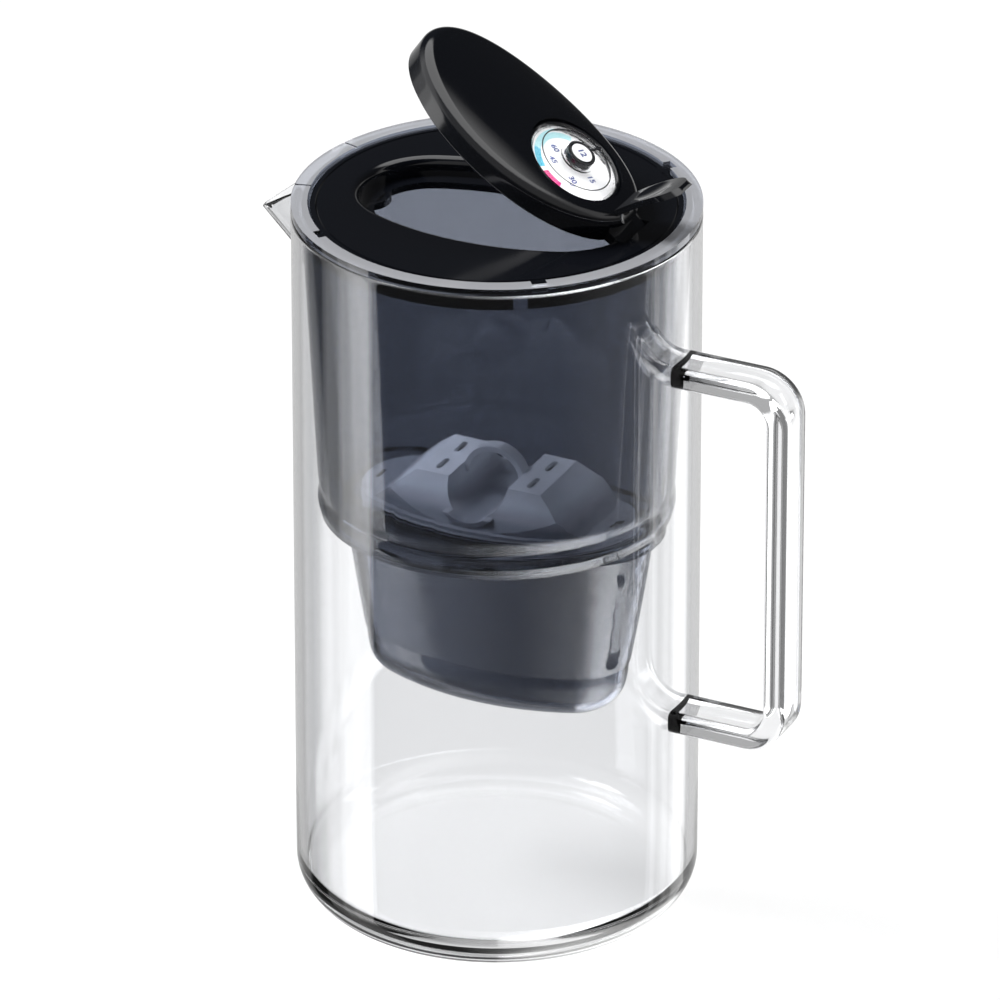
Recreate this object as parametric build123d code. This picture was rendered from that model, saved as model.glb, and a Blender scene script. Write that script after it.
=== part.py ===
from build123d import *
import os
from math import atan2, cos, radians, sin

# A glass water filter pitcher: a straight glass jug with a welded bar handle, a smoked
# hopper that hangs in the rim, a filter cartridge in the hopper's pocket, a black lid
# and a flip lid with a reminder dial and a thumb lever.
# Millimetres. The origin is on the table under the middle of the jug, +Z is up,
# +X points to the handle and -X to the spout.

# ------------------------------------------------------------------ jug
JUG_R = 69.0  # outside of the glass
GLASS_WALL = 3.0
JUG_RIM_Z = 256.5  # top of the glass rim
JUG_FLOOR = 8.0  # thickness of the heavy base
BASE_ROUND = 14.0  # outer corner of the base
FLOOR_ROUND = 9.0  # inner corner of the floor

SPOUT_HALF_ANGLE = 15.5  # where the lip leaves the rim
SPOUT_REACH = 19.0  # how far the tip stands out of the glass
SPOUT_DROP = 15.5  # how far the tip lies under the rim
SPOUT_HEIGHT = 34.0  # rim to where the spout grows out of the wall
SPOUT_NOSE_R = 4.2
SPOUT_WALL = 2.4

# ------------------------------------------------------------------ handle
HANDLE_WIDTH = 17.0
HANDLE_THICK = 8.0
HANDLE_EDGE_R = 2.2
HANDLE_BEND_R = 11.0  # centre line of the two bends
HANDLE_TOP_DROP = 45.5  # rim to the centre line of the upper bar
HANDLE_LOW_Z = 81.0
HANDLE_STAND = 38.0  # glass to the centre line of the upright bar
WELD_SPREAD = 2.6  # how far the weld swells round the bar
WELD_LENGTH = 5.0

# ------------------------------------------------------------------ hopper
HOPPER_GAP = 0.6  # to the glass, at the top
HOPPER_WALL = 2.0
HOPPER_DRAW = 4.8  # how much narrower the hopper is at its foot
HOPPER_DEPTH = 109.0  # rim to the foot
FLANGE_THICK = 2.5
SEAT_DROP = 2.2  # foot to the flat seat round the pocket's mouth
SEAT_MARGIN = 4.0
SPOUT_MARK_WIDTH = 0.9
SPOUT_MARK_DEPTH = 0.5

POCKET_DEPTH = 68.3
POCKET_WALL = 2.0
POCKET_COLLAR = 3.8  # thicker wall at the mouth
POCKET_ROUND = 11.0
POCKET_STEP_RISE = 18.0  # pocket's bottom to a fine step
POCKET_STEP = 0.5
OUTLET_R = 6.0
OUTLET_LIP = 1.2

# ------------------------------------------------------------------ cartridge
CART_HALF_LENGTH = 49.5
CART_HALF_WIDTH = 26.0
CART_END_R = 20.0
CART_FLANGE = 2.0
CART_SEAL = 0.8
SEAL_INSET = 0.3
CART_LEDGE = 1.9  # how far the flange overhangs the cup
CART_CUP_CLEAR = 0.6
CART_CUP_WALL = 1.6
CART_TAPER = 4.2  # how much narrower the cup is at its foot
CART_CUP_FOOT_GAP = 1.2
CUP_ROUND = 9.0
DRAIN_R = 1.2
DRAIN_PITCH = 8.0
DRAIN_COLUMNS = 7
DRAIN_ROWS = 3
SCREEN_THICK = 1.0
CAP_WALL = 1.6
CAP_FLOOR = 0.5  # web between the humps and the flange
HUMP_RISE = 13.0
HUMP_PITCH = 34.0
HUMP_TOP_WIDTH = 12.0
HUMP_TOP_LENGTH = 29.0
HUMP_FLARE = 16.0  # run of the outer slopes
VALLEY_R = 11.0
CAP_SLOT_LENGTH = 8.0
CAP_SLOT_WIDTH = 2.2
CAP_SLOT_PITCH = 14.0
VENT_INSET = 5.0
VENT_LENGTH = 6.5
VENT_WIDTH = 1.6
PULL_RING_R = 11.3
PULL_RING_BAND = 1.9
PULL_RING_DEPTH = 5.0
PULL_RING_DROP = 3.5

# ------------------------------------------------------------------ lid plate
LID_GAP = 0.9  # to the hopper's wall, at the top
LID_SUNK = 1.0  # lid's top under the flange's top
LID_THICK = 2.4
LID_SKIRT = 8.6
LID_SKIRT_WALL = 2.0
LID_GROOVE_INSET = 1.7
LID_GROOVE = 0.6
LUG_ANGLES = (51.7, 130.0, 230.0, 308.3)
LUG_WIDTH = 4.4
LUG_REACH = 3.0
LUG_THICK = 1.2
LUG_DROP = 0.2  # lug top under the plate's top
LUG_CLEAR = 0.35
SKIRT_SLOT_ANGLE = -57.0
SKIRT_SLOT_WIDTH = 4.8

WELL_END_INSET = 13.9  # to the lid's edge
WELL_HALF_WIDTH = 29.6
WELL_END_R = 25.0
WELL_ROLL = 3.0
WELL_WALL = 1.8
LEDGE_DROP = 6.6
LEDGE_WIDTH = 5.0
LEDGE_THICK = 2.4
TAB_R = 9.6
TAB_REACH = 3.2
TAB_CLEAR = 0.5  # to the closed flip lid's plug
TAB_SCOOP_R = 16.0
TAB_SCOOP_DEPTH = 0.9
TAB_SCOOP_BACK = 5.5

# ------------------------------------------------------------------ flip lid
FLIP_OPEN = 35.0  # opening angle in the photographed pose, degrees
FLIP_END_GAP = 2.4  # to the well's end
FLIP_SIDE_GAP = 1.2
FLIP_CENTRE_X = -0.6
FLIP_PART_RISE = 2.1  # parting line on the middle line over the lid's top
FLIP_SAG = 3.4  # how much lower the parting line runs at the sides
COVER_RISE = 4.6
COVER_ROUND = 3.9
COVER_WALL = 1.6
PAD_MARGIN = 1.5  # solid place that holds the lever's root
PAD_BACK = 5.0
PAD_FRONT = 1.0
HEEL_INSET = 1.0
HEEL_RISE = 1.5
THUMB_R = 6.5  # trough in the hinge end, under the lever
THUMB_BACK = 2.4  # from the hinge line
THUMB_RISE = 12.6
THUMB_HALF = 3.5
BAND_DROP = 6.5
PLUG_DROP = 12.4
BASE_WALL = 2.0
FLIP_SEAL_THICK = 1.8
FLIP_SEAL_WIDTH = 4.8

HINGE_INSET = 13.5  # hinge line to the lid's edge
HINGE_DROP = 3.0
PIN_R = 1.25
PIN_CLEAR = 0.06
KNUCKLE_R = 2.5
KNUCKLE_HALF = 9.0
KNUCKLE_SIDE_GAP = 0.35
ARM_LENGTH = 6.0
ARM_THICK = 3.3
EAR_R = 2.9
EAR_THICK = 4.0
HINGE_POCKET_CLEAR = 0.5

LEVER_WIDTH = 16.0
LEVER_THICK = 2.1
LEVER_TIP_R = 6.5
LEVER_LINE = ((-9.3, 6.3), (-3.4, 19.8), (3.4, 31.0))  # root, knee and tip, from the hinge line
LEVER_SCOOP_R = 30.0
LEVER_SCOOP_DEPTH = 1.0
LEVER_SOCKET_CLEAR = 0.05

# ------------------------------------------------------------------ dial
DIAL_BACK = 30.4  # hinge line to the dial's middle
BEZEL_R = 17.8
BEZEL_HEIGHT = 2.7
DIAL_SEAT = 0.5  # floor of the dial's recess over the parting line
DIAL_FLOOR = 1.6
DIAL_FLOOR_CLEAR = 0.2  # to the base's hollow
CARD_THICK = 0.7
LENS_R = 16.4
LENS_TOP_R = 13.4
LENS_HEIGHT = 2.9
LENS_RIM = 0.7  # upright edge under the slope
LENS_THICK = 0.9
BEZEL_CLEAR = 0.05
BEZEL_CHAMFER = 0.4
KNOB_R = 5.2
KNOB_HEIGHT = 3.2
KNOB_SKIRT_R = 6.2
KNOB_SKIRT = 0.7
KNOB_LIFT = 0.35
KNOB_REBATE = 0.8  # the hand's ring sits in it
KNOB_ROUND = 0.3
AXLE_R = 1.5
AXLE_CLEAR = 0.08
AXLE_PROUD = 0.6
POINTER_THICK = 0.6
POINTER_WIDTH = 0.8
POINTER_ANGLE = 73.7
POINTER_REACH = 10.4
POINTER_CLEAR = 0.03
CLIP_R = 3.4
CLIP_THICK = 0.8
CLIP_GAP = 0.3
HUB_R = 4.0
HUB_DROP = 1.6  # the axle's hub reaches this far under the parting line

SCREW_R = 1.1
SCREW_HEAD_R = 2.1
SCREW_HEAD = 1.3
SCREW_SUNK = 0.2
SCREW_CLEAR = 0.1
SCREW_BITE = 2.7  # how far the shank reaches into the cover's boss
PILOT_SPARE = 0.2
DRIVE_LENGTH = 2.6
DRIVE_WIDTH = 0.5
DRIVE_DEPTH = 0.6
SCREW_SPOUT_INSET = 16.2  # from the flip lid's ends
SCREW_HINGE_INSET = 13.2
SCREW_SIDE_X = -6.0
SCREW_SIDE_Y = 14.0
BOSS_R = 2.9
BOSS_JOIN_DROP = 3.0  # base posts meet cover bosses this far under the parting line

# ------------------------------------------------------------------ derived places
JUG_INNER_R = JUG_R - GLASS_WALL
HANDLE_ROOT_X = JUG_R - GLASS_WALL / 2
HANDLE_REACH = JUG_R + HANDLE_STAND
HANDLE_TOP_Z = JUG_RIM_Z - HANDLE_TOP_DROP
FLANGE_TOP_Z = JUG_RIM_Z + FLANGE_THICK
HOPPER_TOP_R = JUG_INNER_R - HOPPER_GAP
HOPPER_BORE_R = HOPPER_TOP_R - HOPPER_WALL
HOPPER_FOOT_R = HOPPER_TOP_R - HOPPER_DRAW
HOPPER_FOOT_Z = JUG_RIM_Z - HOPPER_DEPTH
HOPPER_FLOOR_Z = HOPPER_FOOT_Z + HOPPER_WALL
SEAT_Z = HOPPER_FOOT_Z - SEAT_DROP
POCKET_BOTTOM_Z = SEAT_Z - POCKET_DEPTH
POCKET_STEP_Z = POCKET_BOTTOM_Z + POCKET_STEP_RISE
CART_FLANGE_Z = SEAT_Z + CART_SEAL
CART_TOP_Z = CART_FLANGE_Z + CART_FLANGE
HUMP_TOP_Z = CART_TOP_Z + HUMP_RISE
PULL_RING_Z = HUMP_TOP_Z - PULL_RING_DROP
CUP_HALF_LENGTH = CART_HALF_LENGTH - CART_LEDGE
CUP_HALF_WIDTH = CART_HALF_WIDTH - CART_LEDGE
CUP_END_R = CART_END_R - CART_LEDGE
CUP_FOOT_Z = POCKET_BOTTOM_Z + POCKET_WALL + CART_CUP_FOOT_GAP
LID_R = HOPPER_BORE_R - LID_GAP
LID_TOP_Z = FLANGE_TOP_Z - LID_SUNK
LEDGE_Z = LID_TOP_Z - LEDGE_DROP
WELL_HALF_LENGTH = LID_R - WELL_END_INSET
TAB_TIP_X = LEDGE_WIDTH + TAB_REACH - WELL_HALF_LENGTH
HINGE_X = LID_R - HINGE_INSET
HINGE_Z = LID_TOP_Z - HINGE_DROP
EAR_Y = KNUCKLE_HALF + KNUCKLE_SIDE_GAP
FLIP_HALF_LENGTH = WELL_HALF_LENGTH - FLIP_END_GAP
FLIP_HALF_WIDTH = WELL_HALF_WIDTH - FLIP_SIDE_GAP
FLIP_PART_Z = LID_TOP_Z + FLIP_PART_RISE
PLUG_INSET = FLIP_HALF_LENGTH + TAB_TIP_X + TAB_CLEAR - FLIP_CENTRE_X
BAND_Z = FLIP_PART_Z - BAND_DROP
PLUG_Z = FLIP_PART_Z - PLUG_DROP
INSIDE_COVER_Z = FLIP_PART_Z + COVER_RISE - COVER_WALL / 2
CROWN_R = (FLIP_HALF_WIDTH**2 + FLIP_SAG**2) / (2 * FLIP_SAG)
THUMB_X = HINGE_X - THUMB_BACK
THUMB_Z = HINGE_Z + THUMB_RISE
LEVER_ROOT, LEVER_KNEE, LEVER_TIP = [(HINGE_X + x, HINGE_Z + z) for x, z in LEVER_LINE]
DIAL_X = HINGE_X - DIAL_BACK
DIAL_SEAT_Z = FLIP_PART_Z + DIAL_SEAT
CARD_TOP_Z = DIAL_SEAT_Z + CARD_THICK
LENS_TOP_Z = CARD_TOP_Z + LENS_HEIGHT
KNOB_LOW_Z = LENS_TOP_Z + KNOB_LIFT
KNOB_TOP_Z = KNOB_LOW_Z + KNOB_HEIGHT
HUB_LOW_Z = FLIP_PART_Z - HUB_DROP
CLIP_TOP_Z = HUB_LOW_Z - CLIP_GAP
BOSS_JOIN_Z = FLIP_PART_Z - BOSS_JOIN_DROP
SCREW_SEAT_Z = PLUG_Z + SCREW_SUNK + SCREW_HEAD
SCREW_END_Z = BOSS_JOIN_Z + SCREW_BITE
SCREW_SPOTS = (
    (SCREW_SPOUT_INSET - FLIP_HALF_LENGTH, 0),
    (SCREW_SIDE_X, SCREW_SIDE_Y),
    (SCREW_SIDE_X, -SCREW_SIDE_Y),
    (FLIP_HALF_LENGTH - SCREW_HINGE_INSET, 0),
)
REACH = 400.0  # longer than anything it cuts


# ------------------------------------------------------------------ shared shapes
def oval(half_length, half_width, end_radius):
    """Face of four arcs, long way along X; equal insets of all three sizes are parallel."""
    run = half_length - end_radius
    side_radius = (run**2 + half_width**2 - end_radius**2) / (2 * (half_width - end_radius))
    lean = atan2(side_radius - half_width, run)
    join_x = run + end_radius * cos(lean)
    join_y = end_radius * sin(lean)
    right = ThreePointArc((join_x, -join_y), (half_length, 0), (join_x, join_y))
    far = ThreePointArc((join_x, join_y), (0, half_width), (-join_x, join_y))
    left = ThreePointArc((-join_x, join_y), (-half_length, 0), (-join_x, -join_y))
    near = ThreePointArc((-join_x, -join_y), (0, -half_width), (join_x, -join_y))
    return make_face([right, far, left, near])


def oval_prism(sizes, inset, z_low, z_high):
    half_length, half_width, end_radius = sizes
    face = oval(half_length - inset, half_width - inset, end_radius - inset)
    return extrude(Pos(0, 0, z_low) * face, z_high - z_low)


def oval_taper(sizes, inset_low, z_low, inset_high, z_high):
    half_length, half_width, end_radius = sizes
    low = oval(half_length - inset_low, half_width - inset_low, end_radius - inset_low)
    high = oval(half_length - inset_high, half_width - inset_high, end_radius - inset_high)
    return loft([Pos(0, 0, z_low) * low, Pos(0, 0, z_high) * high], ruled=True)


def rod(radius, z_low, z_high, x=0.0, y=0.0):
    return extrude(Pos(x, y, z_low) * Circle(radius), z_high - z_low)


def ring(outer, inner, z_low, z_high, x=0.0, y=0.0):
    return rod(outer, z_low, z_high, x, y) - rod(inner, z_low, z_high, x, y)


def cross_rod(radius, x, z, y_low, y_high):
    """Round bar along Y."""
    plane = Plane(origin=(x, y_low, z), x_dir=(1, 0, 0), z_dir=(0, 1, 0))
    return extrude(plane * Circle(radius), y_high - y_low)


def box(x_low, x_high, y_low, y_high, z_low, z_high):
    size = (x_high - x_low, y_high - y_low, z_high - z_low)
    middle = ((x_low + x_high) / 2, (y_low + y_high) / 2, (z_low + z_high) / 2)
    return Pos(*middle) * Box(*size)


def as_one(shape):
    """The shape as a single solid, or as a group if it has several."""
    solids = shape.solids()
    return solids[0] if len(solids) == 1 else Compound(solids)


def joined(shapes):
    """All the shapes as one."""
    result = shapes[0]
    for shape in shapes[1:]:
        result = result + shape
    return result


def edges_at(solid, z):
    return solid.edges().filter_by_position(Axis.Z, z - 0.01, z + 0.01)


# ------------------------------------------------------------------ jug
def jug_profile(radius, z_floor, corner, z_top):
    """Half section of a straight cup with a round lower corner."""
    bend = (radius - corner * (1 - cos(radians(45))), z_floor + corner * (1 - sin(radians(45))))
    floor = Line((0, z_floor), (radius - corner, z_floor))
    round_corner = ThreePointArc((radius - corner, z_floor), bend, (radius, z_floor + corner))
    wall = Line((radius, z_floor + corner), (radius, z_top))
    close = Polyline((radius, z_top), (0, z_top), (0, z_floor))
    return make_face(Plane.XZ * (floor + round_corner + wall + close))


def spout_hull(wall):
    """Cone with a V plan that grows out of the wall towards the pinched tip."""
    spread = (JUG_R - wall) * sin(radians(SPOUT_HALF_ANGLE))
    tip_r = JUG_R + SPOUT_REACH
    widening = (SPOUT_REACH - 1.0) / (SPOUT_HEIGHT - SPOUT_DROP)
    top_reach = tip_r + widening * SPOUT_DROP
    nose = SPOUT_NOSE_R - wall * 0.6
    high = spout_section(JUG_RIM_Z + 0.01, spread, top_reach - wall, nose)
    low = spout_section(JUG_RIM_Z - SPOUT_HEIGHT + wall, spread * 0.3, JUG_R + 1.0 - wall, nose)
    return loft([low, high], ruled=True)


def spout_section(z, spread, reach, nose):
    """Plan of the spout at one height: two straight sides that meet in a round nose."""
    root = JUG_INNER_R - 6.0
    length = reach - nose - root
    lean = atan2(spread - nose, length)
    side_x = -(reach - nose + nose * sin(lean))
    side_y = nose * cos(lean)
    far = Line((-root, spread), (side_x, side_y))
    tip = ThreePointArc((side_x, side_y), (-reach, 0), (side_x, -side_y))
    near = Line((side_x, -side_y), (-root, -spread))
    back = Line((-root, -spread), (-root, spread))
    return Pos(0, 0, z) * make_face([far, tip, near, back])


def lip_cut():
    """Everything above the lip, which falls from the rim to the tip."""
    start_x = -JUG_R * cos(radians(SPOUT_HALF_ANGLE))
    tip_x = -(JUG_R + SPOUT_REACH)
    slope = SPOUT_DROP / (start_x - tip_x)
    far_x = tip_x * 1.5
    low_z = JUG_RIM_Z - slope * (start_x - far_x)
    high_z = JUG_RIM_Z + SPOUT_HEIGHT
    corners = [(start_x, JUG_RIM_Z), (far_x, low_z), (far_x, high_z), (start_x, high_z)]
    return extrude(Plane.XZ * make_face(Polyline(*corners, close=True)), JUG_R, both=True)


def make_jug_body():
    outer = revolve(jug_profile(JUG_R, 0, BASE_ROUND, JUG_RIM_Z), Axis.Z)
    hollow = revolve(jug_profile(JUG_INNER_R, JUG_FLOOR, FLOOR_ROUND, JUG_RIM_Z + SPOUT_HEIGHT), Axis.Z)
    spout = spout_hull(0) - lip_cut()
    body = outer + spout - hollow - spout_hull(SPOUT_WALL)
    return body - rod(2 * JUG_R, JUG_RIM_Z, JUG_RIM_Z + SPOUT_HEIGHT)


def handle_path():
    corners = [
        (HANDLE_ROOT_X, 0, HANDLE_TOP_Z),
        (HANDLE_REACH, 0, HANDLE_TOP_Z),
        (HANDLE_REACH, 0, HANDLE_LOW_Z),
        (HANDLE_ROOT_X, 0, HANDLE_LOW_Z),
    ]
    return FilletPolyline(*corners, radius=HANDLE_BEND_R)


def bar_section(x, z, swell):
    """Rounded oblong across the bar at one place, swollen by an amount on every side."""
    plane = Plane(origin=(x, 0, z), x_dir=(0, 1, 0), z_dir=(1, 0, 0))
    width = HANDLE_WIDTH + 2 * swell
    thick = HANDLE_THICK + 2 * swell
    return plane * RectangleRounded(width, thick, HANDLE_EDGE_R + swell * 0.7)


def make_weld(z):
    """Swollen root where the bar is fused to the wall."""
    wide = bar_section(HANDLE_ROOT_X, z, WELD_SPREAD)
    slim = bar_section(JUG_R + WELD_LENGTH, z, 0)
    return loft([wide, slim], ruled=True)


def make_handle():
    bar = sweep(bar_section(HANDLE_ROOT_X, HANDLE_TOP_Z, 0), path=handle_path())
    grip = bar + make_weld(HANDLE_TOP_Z) + make_weld(HANDLE_LOW_Z)
    return grip - rod(JUG_R, 0, JUG_RIM_Z)


# ------------------------------------------------------------------ hopper
def wall_radius(z, inset):
    """Outside of the hopper's tapered wall at a height, less an inset."""
    share = (z - HOPPER_FOOT_Z) / (JUG_RIM_Z - HOPPER_FOOT_Z)
    return HOPPER_FOOT_R + (HOPPER_TOP_R - HOPPER_FOOT_R) * share - inset


def frustum(r_low, z_low, r_high, z_high):
    profile = Polyline((0, z_low), (r_low, z_low), (r_high, z_high), (0, z_high), close=True)
    return revolve(Plane.XZ * make_face(profile), Axis.Z)


CARTRIDGE_OVAL = (CART_HALF_LENGTH, CART_HALF_WIDTH, CART_END_R)
CUP_OVAL = (CUP_HALF_LENGTH, CUP_HALF_WIDTH, CUP_END_R)


def pocket_inside():
    gap = CART_CUP_CLEAR
    room = oval_taper(CUP_OVAL, CART_TAPER - gap, POCKET_BOTTOM_Z + POCKET_WALL, -gap, SEAT_Z)
    room = fillet(edges_at(room, POCKET_BOTTOM_Z + POCKET_WALL), POCKET_ROUND - POCKET_WALL)
    return room


def pocket_outside():
    foot = POCKET_WALL + CART_CUP_CLEAR
    collar = POCKET_COLLAR + CART_CUP_CLEAR
    shell = oval_taper(CUP_OVAL, CART_TAPER - foot, POCKET_BOTTOM_Z, -collar, SEAT_Z)
    shell = fillet(edges_at(shell, POCKET_BOTTOM_Z), POCKET_ROUND)
    return shell


def pocket_step():
    """Thin skin that is missing under the fine step low on the pocket."""
    below = rod(JUG_R, POCKET_BOTTOM_Z - 1, POCKET_STEP_Z)
    share = (POCKET_STEP_Z - POCKET_BOTTOM_Z) / (SEAT_Z - POCKET_BOTTOM_Z)
    foot = CART_TAPER - POCKET_WALL - CART_CUP_CLEAR
    collar = -(POCKET_COLLAR + CART_CUP_CLEAR)
    inset = foot + (collar - foot) * share + POCKET_STEP
    slim = oval_prism(CUP_OVAL, inset, POCKET_BOTTOM_Z - 1, POCKET_STEP_Z)
    return below - slim


def make_hopper():
    top_in = wall_radius(JUG_RIM_Z, HOPPER_WALL)
    outside = frustum(HOPPER_FOOT_R, HOPPER_FOOT_Z, HOPPER_TOP_R, JUG_RIM_Z)
    inside = frustum(wall_radius(HOPPER_FLOOR_Z, HOPPER_WALL), HOPPER_FLOOR_Z, top_in, JUG_RIM_Z)
    flange = ring(JUG_R, HOPPER_BORE_R, JUG_RIM_Z, FLANGE_TOP_Z)
    seat_r = CART_HALF_WIDTH + SEAT_MARGIN
    dish_out = frustum(seat_r, SEAT_Z - HOPPER_WALL, HOPPER_FOOT_R, HOPPER_FOOT_Z)
    dish_in = frustum(seat_r, SEAT_Z, wall_radius(HOPPER_FLOOR_Z, HOPPER_WALL), HOPPER_FLOOR_Z)
    basin_out = oval_prism(CARTRIDGE_OVAL, -SEAT_MARGIN - HOPPER_WALL, SEAT_Z - HOPPER_WALL, HOPPER_FOOT_Z)
    basin_out = basin_out & rod(HOPPER_FOOT_R, SEAT_Z - HOPPER_WALL, HOPPER_FOOT_Z)
    basin_in = oval_prism(CARTRIDGE_OVAL, -SEAT_MARGIN, SEAT_Z, HOPPER_FLOOR_Z)
    tank = outside + dish_out + basin_out + pocket_outside() + flange
    tank = tank - inside - dish_in - basin_in - pocket_inside() - pocket_step()
    outlet = rod(OUTLET_R, POCKET_BOTTOM_Z - OUTLET_LIP - 1, POCKET_BOTTOM_Z + POCKET_WALL + 1)
    lip = ring(OUTLET_R + OUTLET_LIP, OUTLET_R, POCKET_BOTTOM_Z - OUTLET_LIP, POCKET_BOTTOM_Z + POCKET_WALL)
    tank = tank - outlet + lip
    return tank - lug_notches() - spout_marks()


def lug_notches():
    """Places in the flange where the lid's lugs drop in."""
    top = FLANGE_TOP_Z + 1
    floor = LID_TOP_Z - LUG_DROP - LUG_THICK
    width = LUG_WIDTH + 2 * LUG_CLEAR
    reach = LID_R + LUG_REACH + LUG_CLEAR
    notch = box(HOPPER_BORE_R - 2, reach, -width / 2, width / 2, floor, top)
    return joined([Rot(0, 0, angle) * notch for angle in LUG_ANGLES])


def spout_marks():
    """Fine radial grooves that bound the pouring side of the flange."""
    half = SPOUT_MARK_WIDTH / 2
    low = FLANGE_TOP_Z - SPOUT_MARK_DEPTH
    groove = box(HOPPER_BORE_R - 1, JUG_R + 1, -half, half, low, FLANGE_TOP_Z + 1)
    return joined([Rot(0, 0, 180 + side * SPOUT_HALF_ANGLE) * groove for side in (-1, 1)])


# ------------------------------------------------------------------ cartridge
def cup_taper(inset):
    """Outside of the cup, less an inset, from its foot to the flange."""
    foot_z = CUP_FOOT_Z + inset
    shell = oval_taper(CUP_OVAL, CART_TAPER + inset, foot_z, inset, CART_FLANGE_Z)
    return fillet(edges_at(shell, foot_z), CUP_ROUND - inset)


def make_cartridge_cup():
    shell = cup_taper(0)
    hollow = cup_taper(CART_CUP_WALL)
    flange = oval_prism(CARTRIDGE_OVAL, 0, CART_FLANGE_Z, CART_FLANGE_Z + CART_FLANGE / 2)
    mouth = oval_prism(CUP_OVAL, CART_CUP_WALL, CART_FLANGE_Z - 1, CART_TOP_Z)
    drain = rod(DRAIN_R, CUP_FOOT_Z - 1, CUP_FOOT_Z + CART_CUP_WALL + 1)
    drains = GridLocations(DRAIN_PITCH, DRAIN_PITCH, DRAIN_COLUMNS, DRAIN_ROWS) * drain
    return shell + flange - hollow - mouth - joined(drains)


def cap_side_profile(inset):
    """Two humps and the round valley between them, seen along Y."""
    top = HUMP_TOP_Z - inset
    half = HUMP_PITCH / 2
    outer = half + HUMP_TOP_WIDTH / 2 - inset
    foot = outer + HUMP_FLARE
    base = CART_TOP_Z - 0.5
    hill_top = Line((0, top), (outer, top))
    slope = ThreePointArc((outer, top), (outer + HUMP_FLARE * 0.45, (top + base) / 2 + 0.9), (foot, base))
    ground = Line((foot, base), (0, base))
    wall = Line((0, base), (0, top))
    right = Plane.XZ * make_face([hill_top, slope, ground, wall])
    return right + mirror(right, Plane.YZ)


def cap_end_profile(inset):
    """The humps' sloping ends, seen along X."""
    top = HUMP_TOP_Z - inset
    top_half = HUMP_TOP_LENGTH / 2 - inset
    foot_half = CART_HALF_WIDTH - CART_LEDGE - inset
    base = CART_TOP_Z - 0.5
    low = Line((0, base), (foot_half, base))
    bow = (foot_half * 0.45 + top_half * 0.55, (top + base) / 2)
    face = ThreePointArc((foot_half, base), bow, (top_half, top))
    roof = Line((top_half, top), (0, top))
    side = Line((0, top), (0, base))
    right = Plane.YZ * make_face([low, face, roof, side])
    return right + mirror(right, Plane.XZ)


def cap_hill(inset):
    across = extrude(cap_side_profile(inset), CART_HALF_WIDTH, both=True)
    along = extrude(cap_end_profile(inset), CART_HALF_LENGTH, both=True)
    hill = across & along
    valley = cross_rod(VALLEY_R + inset, 0, HUMP_TOP_Z, -CART_HALF_WIDTH, CART_HALF_WIDTH)
    return hill - valley


def make_cartridge_cap():
    flange_low = CART_FLANGE_Z + CART_FLANGE / 2
    flange = oval_prism(CARTRIDGE_OVAL, 0, flange_low, CART_TOP_Z)
    hill = cap_hill(0)
    hill = hill & oval_prism(CUP_OVAL, 0, CART_TOP_Z - 1, HUMP_TOP_Z + 1)
    room = cap_hill(CAP_WALL) & oval_prism(CUP_OVAL, CAP_WALL, flange_low - 1, HUMP_TOP_Z)
    pull = pull_ring()
    floor = oval_prism(CUP_OVAL, CAP_WALL, flange_low, CART_TOP_Z - CAP_FLOOR)
    cap = flange + hill + pull - room - floor
    return cap + valley_skin() - cap_slots()


def valley_skin():
    """Thin trough that closes the valley's foot."""
    trough = cross_rod(VALLEY_R + CAP_WALL, 0, HUMP_TOP_Z, -CUP_HALF_WIDTH, CUP_HALF_WIDTH)
    trough = trough - cross_rod(VALLEY_R, 0, HUMP_TOP_Z, -CART_HALF_WIDTH, CART_HALF_WIDTH)
    band = oval_prism(CUP_OVAL, 0.2, CART_FLANGE_Z + CART_FLANGE / 2, HUMP_TOP_Z - VALLEY_R + 2)
    return trough & band


def pull_ring():
    """Arched band across the valley that a finger hooks under."""
    half = PULL_RING_DEPTH / 2
    arch = cross_rod(PULL_RING_R, 0, PULL_RING_Z, -half, half)
    arch = arch - cross_rod(PULL_RING_R - PULL_RING_BAND, 0, PULL_RING_Z, -half, half)
    return arch & box(-VALLEY_R - 3, VALLEY_R + 3, -half, half, PULL_RING_Z, HUMP_TOP_Z + VALLEY_R)


def cap_slots():
    slot = extrude(SlotOverall(CAP_SLOT_LENGTH, CAP_SLOT_WIDTH, rotation=90), 6)
    half = HUMP_PITCH / 2
    spots = [(x, y) for x in (-half, half) for y in (-CAP_SLOT_PITCH / 2, CAP_SLOT_PITCH / 2)]
    cuts = [Pos(x, y, HUMP_TOP_Z - 3) * slot for x, y in spots]
    vent = extrude(SlotOverall(VENT_LENGTH, VENT_WIDTH, rotation=90), 6)
    vents = [Pos(side * (CART_HALF_LENGTH - VENT_INSET), 0, CART_TOP_Z - 3) * vent for side in (-1, 1)]
    return joined(cuts + vents)


def make_cartridge_seal():
    outer = oval_prism(CARTRIDGE_OVAL, SEAL_INSET, SEAT_Z, CART_FLANGE_Z)
    return outer - oval_prism(CUP_OVAL, 0, SEAT_Z, CART_FLANGE_Z)


def make_screen(z_low):
    """Fine sieve that keeps the granules in; it fills the cup's bore."""
    share = (CART_FLANGE_Z - z_low) / (CART_FLANGE_Z - CUP_FOOT_Z)
    inset = CART_CUP_WALL + CART_TAPER * share
    sheet = oval_prism(CUP_OVAL, inset + 0.3, z_low, z_low + SCREEN_THICK)
    return sheet


def make_media():
    low = CUP_FOOT_Z + CUP_ROUND + SCREEN_THICK
    high = CART_FLANGE_Z - 6
    bed = cup_taper(CART_CUP_WALL)
    return bed & rod(JUG_R, low, high)


# ------------------------------------------------------------------ lid plate
WELL_OVAL = (WELL_HALF_LENGTH, WELL_HALF_WIDTH, WELL_END_R)


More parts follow.
